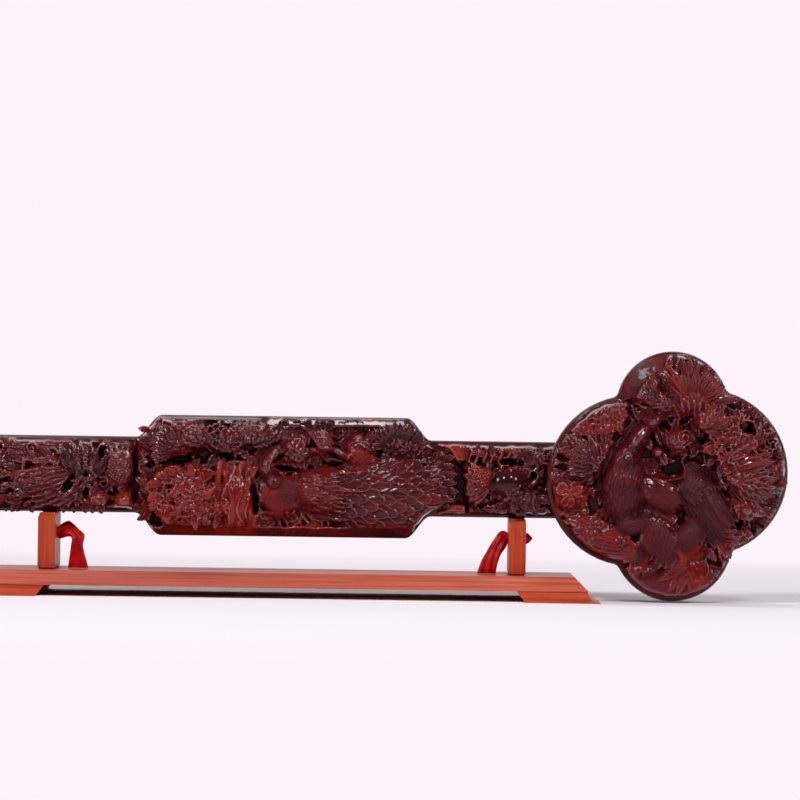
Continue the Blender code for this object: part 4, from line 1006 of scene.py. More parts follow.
def finish_relief(f, border, edge_height, rise, blend, full):
    """Brings the relief down to its border, and works out painted shade, dark in the hollows, and paler
    crests, partly from wear and partly as painted highlight.

    border(x, z) is the width of the plain rounded border there, and rise its height above the outline's edge
    where it is as wide as full. The relief comes up beside it over blend.
    """
    seed = 10 * f.seed
    _, edge = nearest_on(f.outline, np.stack([f.x.ravel(), f.z.ravel()], 1))
    edge = np.where(inside_outline(f.outline, f.x, f.z), edge.reshape(f.x.shape), 0)
    plain = border(f.x, f.z)
    wave = 0.25 * noise(f.x.shape, 1.8 / CELL, seed)
    room = smooth_step((edge + wave - plain) / blend)
    turned = np.clip(edge / np.maximum(plain, 1.6), 0, 1)
    moulding = edge_height + rise * np.clip(plain / full, 0.1, 1) * (turned + 0.03 * np.sin(np.pi * turned))
    relief = moulding + (np.maximum(f.height, 0.6) - moulding) * room
    relief += 0.04 * noise(f.x.shape, 0.9 / CELL, seed + 1)
    f.height = blur(relief, 0.8) + blur(f.fine * room, 0.35)
    # Painted shade: cells that lie below their surroundings, and the floors of hollows in sunk, are darkened
    # by the material. Crests that stand above them are made paler and glossier, partly as wear and partly as
    # painted highlight.
    near, wide = (blur(f.height, reach / CELL) - f.height for reach in (0.9, 3.0))
    f.deep = 0.5 * np.clip(near / 1.2, 0, 1) + 0.8 * np.clip(wide / 3.4, 0, 1)
    f.deep = np.maximum(f.deep, blur(f.sunk, 0.8))
    f.worn = np.clip((-near - 0.08) / 0.5, 0, 1)
    f.polish = (1 - room) * np.clip(2.2 - plain / 4, 0.25, 1) * smooth_step(0.5 + f.z / 8)
    f.dull = np.maximum(f.dull, 0.8 * (1 - room) * np.clip(plain - 5, 0, 1))


# Meshes


def new_object(name, points, faces, material, layers=()):
    """A smooth object, with one number per point for each of its layers, which its material reads."""
    mesh = bpy.data.meshes.new(name)
    mesh.from_pydata(np.asarray(points, float).tolist(), [], faces)
    for label, values in layers:
        layer = mesh.attributes.new(label, "FLOAT", "POINT")
        layer.data.foreach_set("value", values.astype(np.float32))
    mesh.materials.append(material)
    mesh.shade_smooth()
    obj = bpy.data.objects.new(name, mesh)
    bpy.context.collection.objects.link(obj)
    return obj


def placed(f, x, z, height):
    """World places of points at a height above a field's back."""
    return np.stack([MIDDLE_X + (f.origin + x) * MM, f.back_y - height * MM, AXIS_Z + z * MM], -1)


def carved_object(name, f, material):
    """A closed mesh of a field: its carved front, a wall round it and a flat back."""
    cells = inside_outline(f.outline, f.x[:-1, :-1] + CELL / 2, f.z[:-1, :-1] + CELL / 2)
    index = np.arange(f.x.size).reshape(f.x.shape)
    k, i = np.nonzero(cells)
    quads = np.stack([index[k, i], index[k, i + 1], index[k + 1, i + 1], index[k + 1, i]], 1)
    used, flat = np.unique(quads, return_inverse=True)
    quads = flat.reshape(-1, 4)
    edges = np.concatenate([quads[:, [a, (a + 1) % 4]] for a in range(4)])
    twins = set(map(tuple, edges[:, ::-1].tolist()))
    border = [tuple(edge) for edge in edges.tolist() if tuple(edge) not in twins]
    place = np.stack([f.x.ravel()[used], f.z.ravel()[used]], 1)
    rim = np.array(sorted({a for a, _ in border}))
    place[rim], _ = nearest_on(f.outline, place[rim])
    front = placed(f, *place.T, f.height.ravel()[used])
    back = placed(f, *place[rim].T, np.zeros(len(rim)))
    back_of = {int(v): len(front) + n for n, v in enumerate(rim)}
    walls = [(b, a, back_of[a], back_of[b]) for a, b in border]
    follow = dict(border)
    loop = [border[0][0]]
    while follow[loop[-1]] != loop[0] and len(loop) <= len(border):
        loop.append(follow[loop[-1]])
    faces = quads.tolist() + walls + [[back_of[v] for v in reversed(loop)]]
    layers = []
    # Its flat back takes 0.4 in every layer, which paints it partly in shade.
    for label in ("deep", "worn", "tone", "polish", "dull"):
        values = getattr(f, label).ravel()[used]
        layers.append((label, np.concatenate([values, np.full(len(back), 0.4)])))
    return new_object(name, np.vstack([front, back]), faces, material, layers)


class Sprigs:
    """Free leaves and petals, each a closed thin body that grows out of the relief."""

    def __init__(self, field):
        self.field = field
        self.points, self.faces, self.marks = [], [], []
        self.count = 0

    def ground(self, x, z):
        f = self.field
        i = min(max(int(round((x - f.xs[0]) / CELL)), 0), len(f.xs) - 1)
        k = min(max(int(round((z - f.zs[0]) / CELL)), 0), len(f.zs) - 1)
        return f.height[k, i]

    def within(self, x, z, turn, length, overhang):
        """The length at which a leaf ends no further than overhang outside the outline."""
        c, s = heading(turn)
        shares = np.linspace(1.0, 0.3, 15)
        tips = np.stack([x + c * length * shares, z + s * length * shares], 1)
        _, away = nearest_on(self.field.outline, tips)
        fits = inside_outline(self.field.outline, tips[:, 0], tips[:, 1]) | (away <= overhang)
        return length * (shares[np.argmax(fits)] if fits.any() else 0)

    def leaf(self, x, z, turn, length, width, rise, curl, kind, tone, overhang=1.0):
        """rise is the angle at which it leaves the relief, and curl how far it bends back on its way."""
        fitted = self.within(x, z, turn, length, overhang)
        if fitted < 0.45 * length:
            return
        width, length = width * (0.5 + 0.5 * fitted / length), fitted
        long, across = (9, 9) if kind == "petal" else (11, 7)
        u, v = np.linspace(0, 1, long)[:, None], np.linspace(-1, 1, across)[None, :]
        t = 0.05 + 0.95 * u
        if kind == "petal":
            half = arch(np.clip(t, 0, 0.93), 1.7)
            section = 0.30 * v**2 * width / 2
            wave = 0.07 * length * u**2 * np.cos(2.5 * np.pi * v + 40 * (self.field.origin + x))
        else:
            half = arch(np.clip(t, 0, 0.985), 0.85, 0.8)
            if kind == "leaf":
                half = half * (1 - 0.26 * (np.arange(long) % 2)[:, None] * (u < 0.95))
            section = 0.42 * np.abs(v) * width / 2
            wave = 0.04 * length * np.sin(2 * np.pi * 1.5 * u + 3 * v) * np.abs(v)
        angle = np.radians(rise - curl * u)[:-1]
        step = length / (long - 1)
        along, out = (np.vstack([[[0.0]], np.cumsum(way(angle), 0) * step]) for way in (np.cos, np.sin))
        side = v * (width / 2 * half + 0.15)
        thick = (0.35 + 0.75 * (1 - v**2)) * (1 - 0.45 * u)
        c, s = heading(turn)
        high = self.ground(x, z) - 1.1 + out + section * (0.3 + 0.7 * u) + wave
        px, pz = x + c * along - s * side, z + s * along + c * side
        front = placed(self.field, px, pz, high + thick / 2)
        back = placed(self.field, px, pz, high - thick / 2)[:, 1:-1]
        self.points += [front.reshape(-1, 3), back.reshape(-1, 3)]
        self.add_faces(long, across)
        # Painted shade darkens each leaf towards its root, where it meets the relief, and all over its back;
        # its tip and edges are paler, partly as wear and partly as painted highlight.
        deep = np.broadcast_to(0.55 * (1 - u) ** 2, high.shape)
        worn = np.broadcast_to(0.25 * u + 0.5 * np.abs(v) ** 4, high.shape)
        shade = tone + 0.08 * self.field.draw()
        for grid, far in ((slice(None), 0.0), (slice(1, -1), 0.5)):
            dark = np.clip(deep[:, grid] + far, 0, 1).ravel()
            crest = worn[:, grid].ravel() * (1 - far)
            self.marks.append(np.stack([dark, crest, np.full(dark.shape, shade)], 1))

    def add_faces(self, long, across):
        """The faces of one leaf: its front, its back, which shares the front's side edges, and both ends."""
        top = self.count + np.arange(long * across).reshape(long, across)
        inner = self.count + long * across + np.arange(long * (across - 2)).reshape(long, across - 2)
        under = np.concatenate([top[:, :1], inner, top[:, -1:]], 1)
        for i in range(long - 1):
            for k in range(across - 1):
                self.faces.append((top[i, k], top[i + 1, k], top[i + 1, k + 1], top[i, k + 1]))
                self.faces.append((under[i, k], under[i, k + 1], under[i + 1, k + 1], under[i + 1, k]))
        self.faces.append((*top[0], *inner[0][::-1]))
        self.faces.append((*top[-1][::-1], *inner[-1]))
        self.count += top.size + inner.size

    def build(self, name, material):
        marks = np.vstack(self.marks)
        none = np.zeros(len(marks))
        layers = [*zip(("deep", "worn", "tone"), marks.T), ("polish", none), ("dull", none)]
        faces = [[int(v) for v in face] for face in self.faces]
        return new_object(name, np.vstack(self.points), faces, material, layers)


# Materials


class Nodes:
    """Short names for building a node material."""

    def __init__(self, name):
        self.material = bpy.data.materials.new(name)
        self.material.use_nodes = True
        self.tree = self.material.node_tree
        self.shader = self.tree.nodes["Principled BSDF"]

    def plug(self, socket, value):
        if isinstance(value, bpy.types.NodeSocket):
            self.tree.links.new(value, socket)
        else:
            socket.default_value = (*value, 1.0) if socket.type == "RGBA" else value

    def node(self, kind, *values, **settings):
        """A new node with its settings, and values for its first usable inputs."""
        node = self.tree.nodes.new(kind)
        for key, value in settings.items():
            setattr(node, key, value)
        for socket, value in zip([s for s in node.inputs if s.enabled], values):
            self.plug(socket, value)
        return node

    def surface(self, **inputs):
        for key, value in inputs.items():
            self.plug(self.shader.inputs[key.replace("_", " ")], value)

    def maths(self, operation, first, second=0.0, clamp=False):
        return self.node("ShaderNodeMath", first, second, operation=operation, use_clamp=clamp).outputs[0]

    def add(self, *values):
        """The sum of two values, kept between 0 and 1."""
        return self.maths("ADD", *values, True)

    def times(self, *values):
        return self.maths("MULTIPLY", *values)

    def around(self, value, share):
        """A noise's swing about its middle, times share."""
        return self.times(self.maths("SUBTRACT", value, 0.5), share)

    def ramp(self, factor, *stops):
        node = self.node("ShaderNodeValToRGB", factor)
        elements = node.color_ramp.elements
        while len(elements) < len(stops):
            elements.new(0.5)
        for element, (at, colour) in zip(elements, stops):
            element.position = at
            element.color = (*colour, 1.0)
        return node.outputs[0]

    def mix(self, factor, first, second, mode="MIX"):
        node = self.node("ShaderNodeMix", data_type="RGBA", blend_type=mode)
        for socket, value in zip([s for s in node.inputs if s.enabled], (factor, first, second)):
            self.plug(socket, value)
        return [s for s in node.outputs if s.enabled][0]

    def attribute(self, name):
        return self.node("ShaderNodeAttribute", attribute_name=name).outputs["Fac"]

    def stretched(self, scale):
        where = self.node("ShaderNodeTexCoord").outputs["Object"]
        mapping = self.node("ShaderNodeMapping", where)
        mapping.inputs["Scale"].default_value = scale
        return mapping.outputs[0]

    def noise(self, vector, scale, detail, roughness=0.55, distortion=0.0):
        node = self.node("ShaderNodeTexNoise")
        settings = {"Vector": vector, "Scale": scale, "Detail": detail, "Roughness": roughness}
        for key, value in {**settings, "Distortion": distortion}.items():
            self.plug(node.inputs[key], value)
        return node.outputs[0]

    def bump(self, height, strength, distance):
        node = self.node("ShaderNodeBump")
        for key, value in {"Strength": strength, "Distance": distance, "Height": height}.items():
            self.plug(node.inputs[key], value)
        self.surface(Normal=node.outputs[0])


WHITE = (1.0, 1.0, 1.0)


def grain_lines(n, along, across, upright=False):
    """Fine pores and broader bands that run along X, or along Z in upright pieces."""
    scales_of = [(along, across, across), (along * 0.25, across * 0.12, across * 0.12)]
    if upright:
        scales_of = [scale[::-1] for scale in scales_of]
    fine = n.noise(n.stretched(scales_of[0]), 1.0, 5.0, 0.65, 0.2)
    return fine, n.noise(n.stretched(scales_of[1]), 1.0, 3.0, 0.5, 0.8)


def carved_rosewood():
    """Waxed dark red wood. Painted shade darkens its hollows, which are also matte; its crests are paler,
    partly from wear and partly as painted highlight, and glossy.
    """
    n = Nodes("carved_rosewood_waxed")
    fine, broad = grain_lines(n, 60.0, 900.0)
    deep, worn, dull = (n.attribute(name) for name in ("deep", "worn", "dull"))
    tone = n.maths("ADD", n.attribute("tone"), n.around(broad, 0.5))
    # Higher tones run brighter red, then orange-red. Tones set by region are partly the wood's own colour and
    # partly painted light: brighter red on the head's top lobe as light from above, and orange-red on its low
    # forms as warm bounce light.
    dark, brown = (0.10, (0.028, 0.0028, 0.0060)), (0.42, (0.078, 0.0058, 0.0098))
    wood = n.ramp(tone, dark, brown, (0.66, (0.162, 0.0070, 0.0074)), (0.95, (0.290, 0.0190, 0.0070)))
    wood = n.mix(0.6, wood, n.ramp(fine, (0.36, (0.55, 0.5, 0.5)), (0.52, WHITE)), "MULTIPLY")
    # Crests are mixed towards a paler red, partly as wear and partly as painted highlight.
    wood = n.mix(n.times(worn, 0.3), wood, (0.26, 0.014, 0.016))
    # Painted shade: the hollows are mixed towards near black.
    wood = n.mix(n.maths("MULTIPLY", deep, 0.9, True), wood, (0.006, 0.001, 0.0012))
    rough = n.maths("ADD", n.times(n.maths("MAXIMUM", deep, dull), 0.3), 0.17)
    gloss = n.maths("MAXIMUM", n.maths("ADD", n.times(worn, 1.6), 0.14), n.attribute("polish"))
    gloss = n.times(n.maths("SUBTRACT", gloss, deep, True), n.maths("SUBTRACT", 1.0, n.times(dull, 0.85)))
    n.surface(Base_Color=wood, Roughness=n.add(rough, n.around(fine, 0.16)))
    n.surface(Specular_IOR_Level=0.18, Specular_Tint=(1.0, 0.86, 0.88))
    n.surface(Coat_Weight=gloss, Coat_Roughness=0.08, Coat_IOR=1.62)
    n.bump(fine, 0.1, 0.0002)
    return n.material


def polished_rosewood():
    n = Nodes("polished_rosewood_back")
    fine, broad = grain_lines(n, 22.0, 620.0)
    ends = (0.30, (0.040, 0.004, 0.005)), (0.70, (0.140, 0.014, 0.012))
    wood = n.ramp(broad, ends[0], (0.50, (0.085, 0.008, 0.009)), ends[1])
    wood = n.mix(0.7, wood, n.ramp(fine, (0.38, (0.4, 0.35, 0.35)), (0.54, WHITE)), "MULTIPLY")
    n.surface(Base_Color=wood, Roughness=n.add(n.around(fine, 0.2), 0.2))
    n.surface(Specular_IOR_Level=0.25, Coat_Weight=0.15, Coat_Roughness=0.08)
    n.bump(fine, 0.12, 0.0002)
    return n.material


def stand_wood(name, pale, upright=False):
    """Wood stained orange-red, which pale mixes towards salmon."""
    n = Nodes(name)
    fine, broad = grain_lines(n, 16.0, 520.0, upright)
    dark, red = (0.22, (0.36, 0.030, 0.009)), (0.40, (0.54, 0.060, 0.017))
    wood = n.ramp(broad, dark, red, (0.58, (0.62, 0.085, 0.024)), (0.80, (0.66, 0.130, 0.046)))
    streaks = n.stretched((150.0, 150.0, 4.0) if upright else (4.0, 150.0, 150.0))
    streaks = n.noise(streaks, 1.0, 3.0, 0.6, 0.6)
    wood = n.mix(0.8, wood, n.ramp(streaks, (0.40, (0.62, 0.5, 0.45)), (0.60, WHITE)), "MULTIPLY")
    wood = n.mix(pale, wood, (0.80, 0.34, 0.28))
    wood = n.mix(0.65, wood, n.ramp(fine, (0.36, (0.6, 0.45, 0.38)), (0.52, WHITE)), "MULTIPLY")
    n.surface(Base_Color=wood, Roughness=n.add(n.around(fine, 0.2), 0.36), Specular_IOR_Level=0.1)
    n.bump(fine, 0.2, 0.0002)
    return n.material


def dowel_wood():
    n = Nodes("plain_dowel_wood")
    fine, broad = grain_lines(n, 300.0, 300.0)
    wood = n.ramp(broad, (0.3, (0.34, 0.18, 0.08)), (0.7, (0.50, 0.30, 0.15)))
    n.surface(Base_Color=wood, Roughness=0.65)
    n.bump(fine, 0.3, 0.0003)
    return n.material


def red_satin():
    n = Nodes("red_satin_ribbon")
    where = n.stretched((1.0, 1.0, 1.0))
    # Painted shade and highlight: a noise of dark and bright red stands in for the light and shade of folds.
    painted_fold_shading = n.ramp(n.noise(where, 160.0, 2.0), (0.3, (0.28, 0.001, 0.002)), (0.7, (0.76, 0.004, 0.005)))
    n.surface(Base_Color=painted_fold_shading, Roughness=0.3, Specular_IOR_Level=0.3)
    n.bump(n.noise(where, 2600.0, 2.0), 0.25, 0.0002)
    return n.material


# Stand, plates and ribbons

STAND_EDGE = 0.4


def softened(node, material):
    """A copy of a node of the stand with its edges rounded, which replaces it."""
    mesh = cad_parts[node].data.copy()
    shape = bmesh.new()
    shape.from_mesh(mesh)
    bmesh.ops.remove_doubles(shape, verts=shape.verts, dist=1e-6)
    bmesh.ops.dissolve_limit(shape, angle_limit=math.radians(2), verts=shape.verts, edges=shape.edges)
    sharp = [e for e in shape.edges if e.is_manifold and e.calc_face_angle(0) > math.radians(24)]
    size = {"offset": STAND_EDGE * MM, "segments": 3, "profile": 0.5}
    bmesh.ops.bevel(shape, geom=sharp, affect="EDGES", clamp_overlap=True, **size)
    shape.to_mesh(mesh)
    shape.free()
    mesh.materials.clear()
    mesh.materials.append(material)
    mesh.shade_smooth()
    mesh.set_sharp_from_angle(angle=math.radians(35))
    piece = bpy.data.objects.new(node + "_finished", mesh)
    bpy.context.collection.objects.link(piece)
    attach(piece, "stand")
    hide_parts(node)


def dress(node, material):
    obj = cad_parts[node]
    obj.data.materials.clear()
    obj.data.materials.append(material)
    for slot in obj.material_slots:
        slot.material = material


def ribbon_piece(name, points, faces, material):
    """A piece of a ribbon with its faces turned outwards."""
    obj = new_object(name, points, faces, material)
    shape = bmesh.new()
    shape.from_mesh(obj.data)
    bmesh.ops.recalc_face_normals(shape, faces=shape.faces)
    shape.to_mesh(obj.data)
    shape.free()
    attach(obj, "stand")
    return obj


# Both edges of each ribbon, upper then lower, in millimetres: out from the post's side, towards the front,
# and up from the middle of its hole
THREADED = tuple(((out, 0, half), (out, 0, -half)) for out, half in ((-10.8, 3.0), (-5.0, 3.1), (0.0, 3.2)))
LEFT_BAND = (
    *THREADED,
    ((1.4, -0.5, 4.3), (1.0, 0.6, -4.0)),
    ((3.6, -0.8, 5.7), (3.2, 2.0, -3.6)),
    ((6.3, -0.4, 6.7), (5.6, 3.2, -2.8)),
    ((8.6, 0.4, 5.6), (7.9, 3.9, -2.6)),
    ((12.6, 1.6, 2.2), (8.5, 4.4, -3.1)),
    ((16.2, 2.8, -1.2), (8.9, 4.8, -3.9)),
    ((16.1, 3.6, -4.2), (8.8, 4.8, -5.4)),
    ((15.5, 3.6, -7.4), (8.4, 4.2, -7.6)),
    ((16.2, 2.6, -12.0), (7.9, 3.4, -11.8)),
    ((17.4, 1.6, -16.5), (7.2, 2.8, -16.6)),
    ((18.6, 0.6, -21.3), (6.6, 2.4, -21.3)),
)
RIGHT_BAND = (
    *THREADED,
    ((1.4, -0.6, 4.0), (0.8, 0.8, -4.4)),
    ((3.7, -0.8, 4.3), (1.5, 2.0, -5.8)),
    ((6.2, -0.2, 2.6), (2.7, 3.2, -7.4)),
    ((9.9, 1.0, -2.8), (4.3, 4.0, -9.6)),
    ((12.8, 1.4, -8.0), (5.5, 3.8, -12.8)),
    ((15.6, 1.2, -13.1), (6.6, 3.0, -16.8)),
    ((18.6, 0.4, -21.3), (7.2, 2.2, -21.3)),
)
BAND_THICKNESS = 0.35
BAND_POINTS = 11
# How far each knot stands out from its post, and half its depth and height
KNOTS = {"left": (1.5, 2.1, 2.5), "right": (4.4, 2.4, 3.2)}
KNOT_RINGS, KNOT_SPOKES, KNOT_GAP = 14, 22, 0.2


def ribbon_place(side, points):
    """World places of points given out from the post's side, towards the front and up from its hole."""
    way = 1 if side == "left" else -1
    post = middle("post_" + side)
    hole_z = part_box("base_board")[1].z + RIBBON_HOLE_HEIGHT * MM
    x = post.x + way * (POST_WIDTH / 2 + points[..., 0]) * MM
    return np.stack([x, post.y - points[..., 1] * MM, hole_z + points[..., 2] * MM], -1)


def add_ribbon(side, stations, material):
    """A satin band threaded through its post, from its knot to the tail that falls on the board."""
    across = BAND_POINTS
    course = smooth_curve([(*upper, *lower) for upper, lower in stations], 0.7)
    upper, lower = course[:, None, :3], course[:, None, 3:]
    points = lower + (upper - lower) * np.linspace(0, 1, across)[None, :, None]
    opened = smooth_step((course[:, 0] - 0.5) / 5)[:, None]
    v = np.linspace(-1, 1, across)[None, :]
    row = np.arange(len(course))[:, None]
    points[..., 1] += opened * (0.75 * np.cos(2.3 * np.pi * v + 0.09 * row) - 0.6 * v**4)
    points = ribbon_place(side, points)
    normal = np.cross(np.gradient(points, axis=0), np.gradient(points, axis=1))
    normal /= np.linalg.norm(normal, axis=-1, keepdims=True)
    raised = normal * (1 - 0.6 * np.abs(v) ** 8)[..., None] * BAND_THICKNESS / 2 * MM
    count = len(course) * across
    faces = []
    for i in range(len(course) - 1):
        a = i * across
        for k in range(a, a + across - 1):
            faces.append((k, k + across, k + across + 1, k + 1))
            faces.append((count + k, count + k + 1, count + k + across + 1, count + k + across))
        b = a + across - 1
        faces.append((a, count + a, count + a + across, a + across))
        faces.append((b + across, count + b + across, count + b, b))
    last = count - across
    for k in range(across - 1):
        faces.append((k, k + 1, count + k + 1, count + k))
        faces.append((last + k + 1, last + k, count + last + k, count + last + k + 1))
    surfaces = [(points + way * raised).reshape(-1, 3) for way in (1, -1)]
    band = ribbon_piece("ribbon_band_" + side, np.vstack(surfaces), faces, material)
    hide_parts("ribbon_" + side)
    knot = add_knot(side, material)


def add_knot(side, material):
    """The flattened knot that keeps a ribbon from slipping through its post."""
    out, half_depth, half_height = KNOTS[side]
    start = -(POST_WIDTH + KNOT_GAP)
    points = []
    for i in range(1, KNOT_RINGS):
        tilt = math.pi * i / KNOT_RINGS
        far_share = 0.5 - 0.5 * math.cos(tilt)
        for k in range(KNOT_SPOKES):
            a = 2 * math.pi * k / KNOT_SPOKES
            fold = 1 + 0.13 * abs(math.sin(1.5 * a + 2.2 * tilt)) + 0.05 * math.sin(5 * a - 3 * tilt)
            r = fold * (1 - far_share**1.7) ** 0.9
            section = half_depth * r * math.cos(a), half_height * r * math.sin(a)
            points.append((start - out * far_share, *section))
    near, far = len(points), len(points) + 1
    points += [(start, 0, 0), (start - out, 0, 0)]
    faces = []
    for k in range(KNOT_SPOKES):
        n = (k + 1) % KNOT_SPOKES
        faces.append((near, k, n))
        for a in range(0, (KNOT_RINGS - 2) * KNOT_SPOKES, KNOT_SPOKES):
            faces.append((a + k, a + KNOT_SPOKES + k, a + KNOT_SPOKES + n, a + n))
        a = (KNOT_RINGS - 2) * KNOT_SPOKES
        faces.append((a + k, far, a + n))
    return ribbon_piece("ribbon_knot_" + side, ribbon_place(side, np.array(points)), faces, material)


# Camera, floor and lamps


def add_camera():
    """A level camera in front, a little right of the middle, rolled slightly as in the photo."""
    distance, metres_across = 2.35, 0.48
    roll = math.radians(0.8)
    eye = Vector((MIDDLE_X + 0.069, RAIL_Y - distance, AXIS_Z + 0.0468))
    camera = bpy.data.objects.new("camera", bpy.data.cameras.new("camera"))
    camera.data.sensor_width = 36.0
    camera.data.lens = camera.data.sensor_width * distance / metres_across
    camera.data.clip_start = 0.05
    right = Vector((math.cos(roll), 0, math.sin(roll)))
    up = Vector((-math.sin(roll), 0, math.cos(roll)))
    back = Vector((0, -1, 0))
    camera.matrix_world = Matrix.Translation(eye) @ Matrix((right, up, back)).transposed().to_4x4()
    bpy.context.collection.objects.link(camera)
    bpy.context.scene.camera = camera


def pale_paper():
    """Paper that keeps shadows near the object, and that cameras and gloss see as plain further off."""
    n = Nodes("pale_backdrop")
    n.surface(Base_Color=(0.93, 0.875, 0.925), Roughness=0.95, Specular_IOR_Level=0.0)
    glow = n.node("ShaderNodeEmission", (0.972, 0.892, 0.956), 1.0)
    path = n.node("ShaderNodeLightPath").outputs
    seen = n.maths("ADD", path["Is Camera Ray"], path["Is Glossy Ray"])
    seen = n.add(seen, path["Is Transmission Ray"])
    place = n.node("ShaderNodeTexCoord").outputs["Object"]
    depth = n.node("ShaderNodeSeparateXYZ", place).outputs["Y"]
    far = n.maths("DIVIDE", n.maths("SUBTRACT", depth, 0.12), 0.5, True)
    near = n.maths("DIVIDE", n.maths("SUBTRACT", -0.16, depth), 0.45, True)
    share = n.times(seen, n.add(far, near))
    mixed = n.node("ShaderNodeMixShader", share, n.shader.outputs[0], glow.outputs[0])
    n.tree.links.new(mixed.outputs[0], n.tree.nodes["Material Output"].inputs["Surface"])
    return n.material


def add_stage():
    """A pale floor that curves up into a backdrop."""
    flat_end, half_span, bend, top, steps = 3.4, 14.0, 0.6, 6.0, 12
    profile = [(-half_span, 0.0), (flat_end, 0.0)]
    for k in range(1, steps + 1):
        c, s = heading(90 * k / steps)
        profile.append((flat_end + bend * s, bend * (1 - c)))
    profile.append((flat_end + bend, top))
    points = [(x, y, z) for y, z in profile for x in (-half_span, half_span)]
    faces = [(k, k + 1, k + 3, k + 2) for k in range(0, len(points) - 2, 2)]
    new_object("floor_and_backdrop", points, faces, pale_paper())


# Each lamp's place, size and power
LAMPS = {
    "overhead_softbox": ((0.05, 0.22, 1.5), (1.5, 0.2), 7),
    "front_key": ((-0.55, -1.05, 1.25), (0.34, 0.26), 11.4),
    "upper_right_key": ((0.6, -1.0, 1.35), (0.16, 0.14), 5.5),
    "right_key": ((1.2, -0.8, 0.85), (0.18, 0.28), 5),
    "left_fill": ((-1.4, -0.5, 0.6), (0.18, 0.36), 4),
}


def add_lights():
    target = Vector((0.05, 0, AXIS_Z))
    for name, (place, size, power) in LAMPS.items():
        data = bpy.data.lights.new(name, "AREA")
        data.shape = "RECTANGLE"
        data.size, data.size_y = size
        data.energy = power
        lamp = bpy.data.objects.new(name, data)
        lamp.location = place
        lamp.rotation_euler = (target - Vector(place)).to_track_quat("-Z", "Y").to_euler()
        bpy.context.collection.objects.link(lamp)
    world = bpy.data.worlds.new("studio")
    world.use_nodes = True
    bpy.context.scene.world = world
    light = world.node_tree.nodes["Background"].inputs
    light["Color"].default_value = (0.98, 0.95, 0.98, 1.0)
    light["Strength"].default_value = 0.1


# The borders and outlines of the carvings

PLAIN_EDGE = 1.6
HANDLE_HALF = HANDLE_WIDTH / 2 - PLAIN_EDGE
TOP_LOBE_Z = 46


def head_border(x, z):
    """A thin rim at the left, none at the right, and the smooth band of the top lobe's left side."""
    to_right = 0.5 + 0.5 * np.cos(np.arctan2(z, x) - math.radians(10))
    lobe = np.degrees(np.arctan2(z - TOP_LOBE_Z, x))
    band = smooth_step((lobe - 90) / 16) * smooth_step((z - TOP_LOBE_Z) / 6)
    return 1.1 * np.clip(1.3 - 1.9 * to_right, 0, 1) + 8.0 * band


def plaque_border(x, z):
    ends = smooth_step((PLAQUE_REACH - 6 - np.abs(x)) / 12)
    top = 2.0 + 2.8 * smooth_step((x + 18) / 10)
    return 0.2 + ends * np.where(z > 0, top, 5.4)


def even_border(width):
    return lambda x, z: np.full(x.shape, width)


def handle_strip():
    start, end = front_box("left_handle_carving")[:, 0]
    return strip_outline(start, end, lambda x: HANDLE_HALF, 4)


def strip_round_plumes():
    """The right handle's carving, which closes round the plumes that run out over the handle."""
    end = front_box("right_handle_carving")[1, 0]
    xs = np.linspace(PLAQUE_REACH + 4, PLAQUE_REACH + PLUME_REACH - 0.2, 14)
    hollow = [(x, min(plaque_half(x) + 0.7, HANDLE_HALF - 0.5)) for x in xs]
    tip = (PLAQUE_REACH + PLUME_REACH + 0.5, 0.0)
    corners = [(xs[0], HANDLE_HALF), (end, HANDLE_HALF), (end, -HANDLE_HALF), (xs[0], -HANDLE_HALF)]
    return np.array(corners + [(x, -z) for x, z in hollow] + [tip] + hollow[::-1])


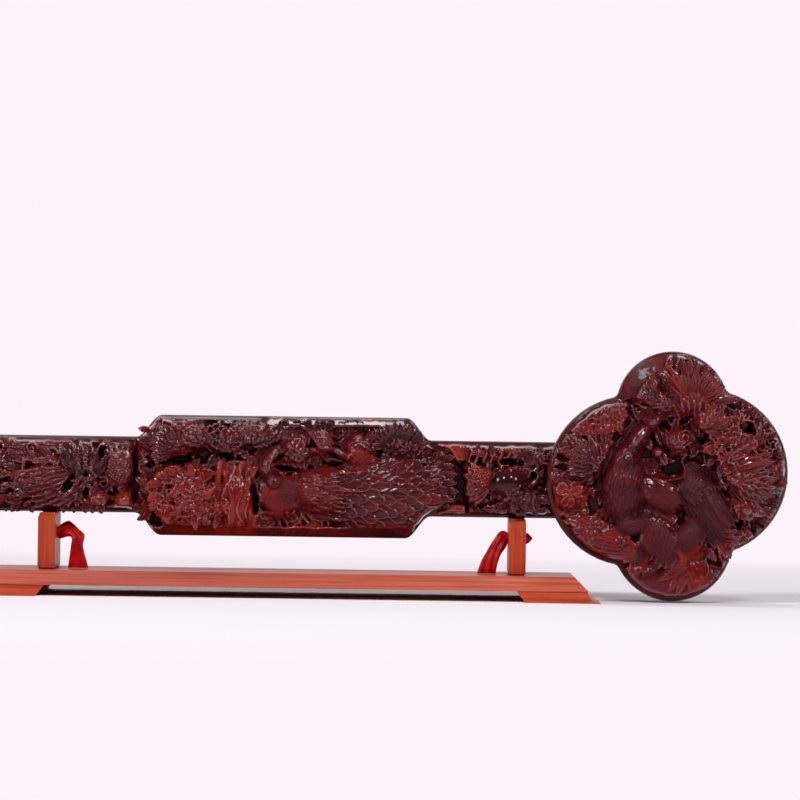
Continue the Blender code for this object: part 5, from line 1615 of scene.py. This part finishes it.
def add_carving(name, node, outline, origin, back, carve, add_leaves, profile, border, seed, material):
    """One carving on the node that it stands for, and its free leaves."""
    f = Field(outline, origin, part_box(back)[1].y, 1.5, seed)
    carve(f)
    finish_relief(f, border, *profile)
    relief = carved_object("carved_" + name, f, material)
    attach(relief, "scepter")
    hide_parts(node)
    sprigs = Sprigs(f)
    add_leaves(f, sprigs.leaf)
    leaves = sprigs.build(name + "_free_leaves", material)
    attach(leaves, "scepter")


def add_carvings():
    """All five. A profile is a border's height at its edge, its rise, its blend and its full width."""
    carved = carved_rosewood()
    plaque = strip_outline(-PLAQUE_REACH, PLAQUE_REACH + PLUME_REACH, plaque_half, 120)
    head, tail = lobed_outline("head_carving", HEAD_X), lobed_outline("tail_carving", TAIL_X)
    left, right = handle_strip(), strip_round_plumes()
    narrow, edge = even_border(0.5), even_border(1.6)
    jobs = (
        ("head", head, HEAD_X, carve_head, leaves_on_head, (2.0, 4.6, 1.6, 8.6), head_border, 11),
        ("tail", tail, TAIL_X, carve_tail, leaves_on_tail, (1.8, 1.0, 2.4, 2.0), edge, 12),
        ("plaque", plaque, 0, carve_plaque, leaves_on_plaque, (2.0, 6.2, 1.2, 2.0), plaque_border, 13),
        ("left_handle", left, 0, carve_left, leaves_on_left, (2.0, 0.8, 1.4, 2.0), narrow, 14),
        ("right_handle", right, 0, carve_right, leaves_on_right, (1.6, 0.6, 1.4, 2.0), narrow, 15),
    )
    for name, outline, origin, *rest in jobs:
        node = "middle_plaque" if name == "plaque" else name + "_carving"
        back = "head_carving" if origin else "middle_plaque"
        add_carving(name, node, outline, origin, back, *rest, carved)


def main():
    bpy.context.scene.view_settings.view_transform = "Standard"
    add_camera()
    add_stage()
    add_lights()
    add_carvings()
    polished, raw, satin = polished_rosewood(), dowel_wood(), red_satin()
    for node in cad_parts:
        if "dowel" in node:
            dress(node, raw)
    for node in ("handle_rail", "head_plate", "tail_plate", "head_neck_block", "tail_neck_block"):
        dress(node, polished)
    softened("base_board", stand_wood("salmon_red_board_wood", 0.2))
    feet, posts = stand_wood("orange_red_foot_wood", 0.04), stand_wood("orange_red_post_wood", 0.04, True)
    for side in ("left", "right"):
        softened("foot_" + side, feet)
        softened("post_" + side, posts)
    add_ribbon("left", LEFT_BAND, satin)
    add_ribbon("right", RIGHT_BAND, satin)


main()
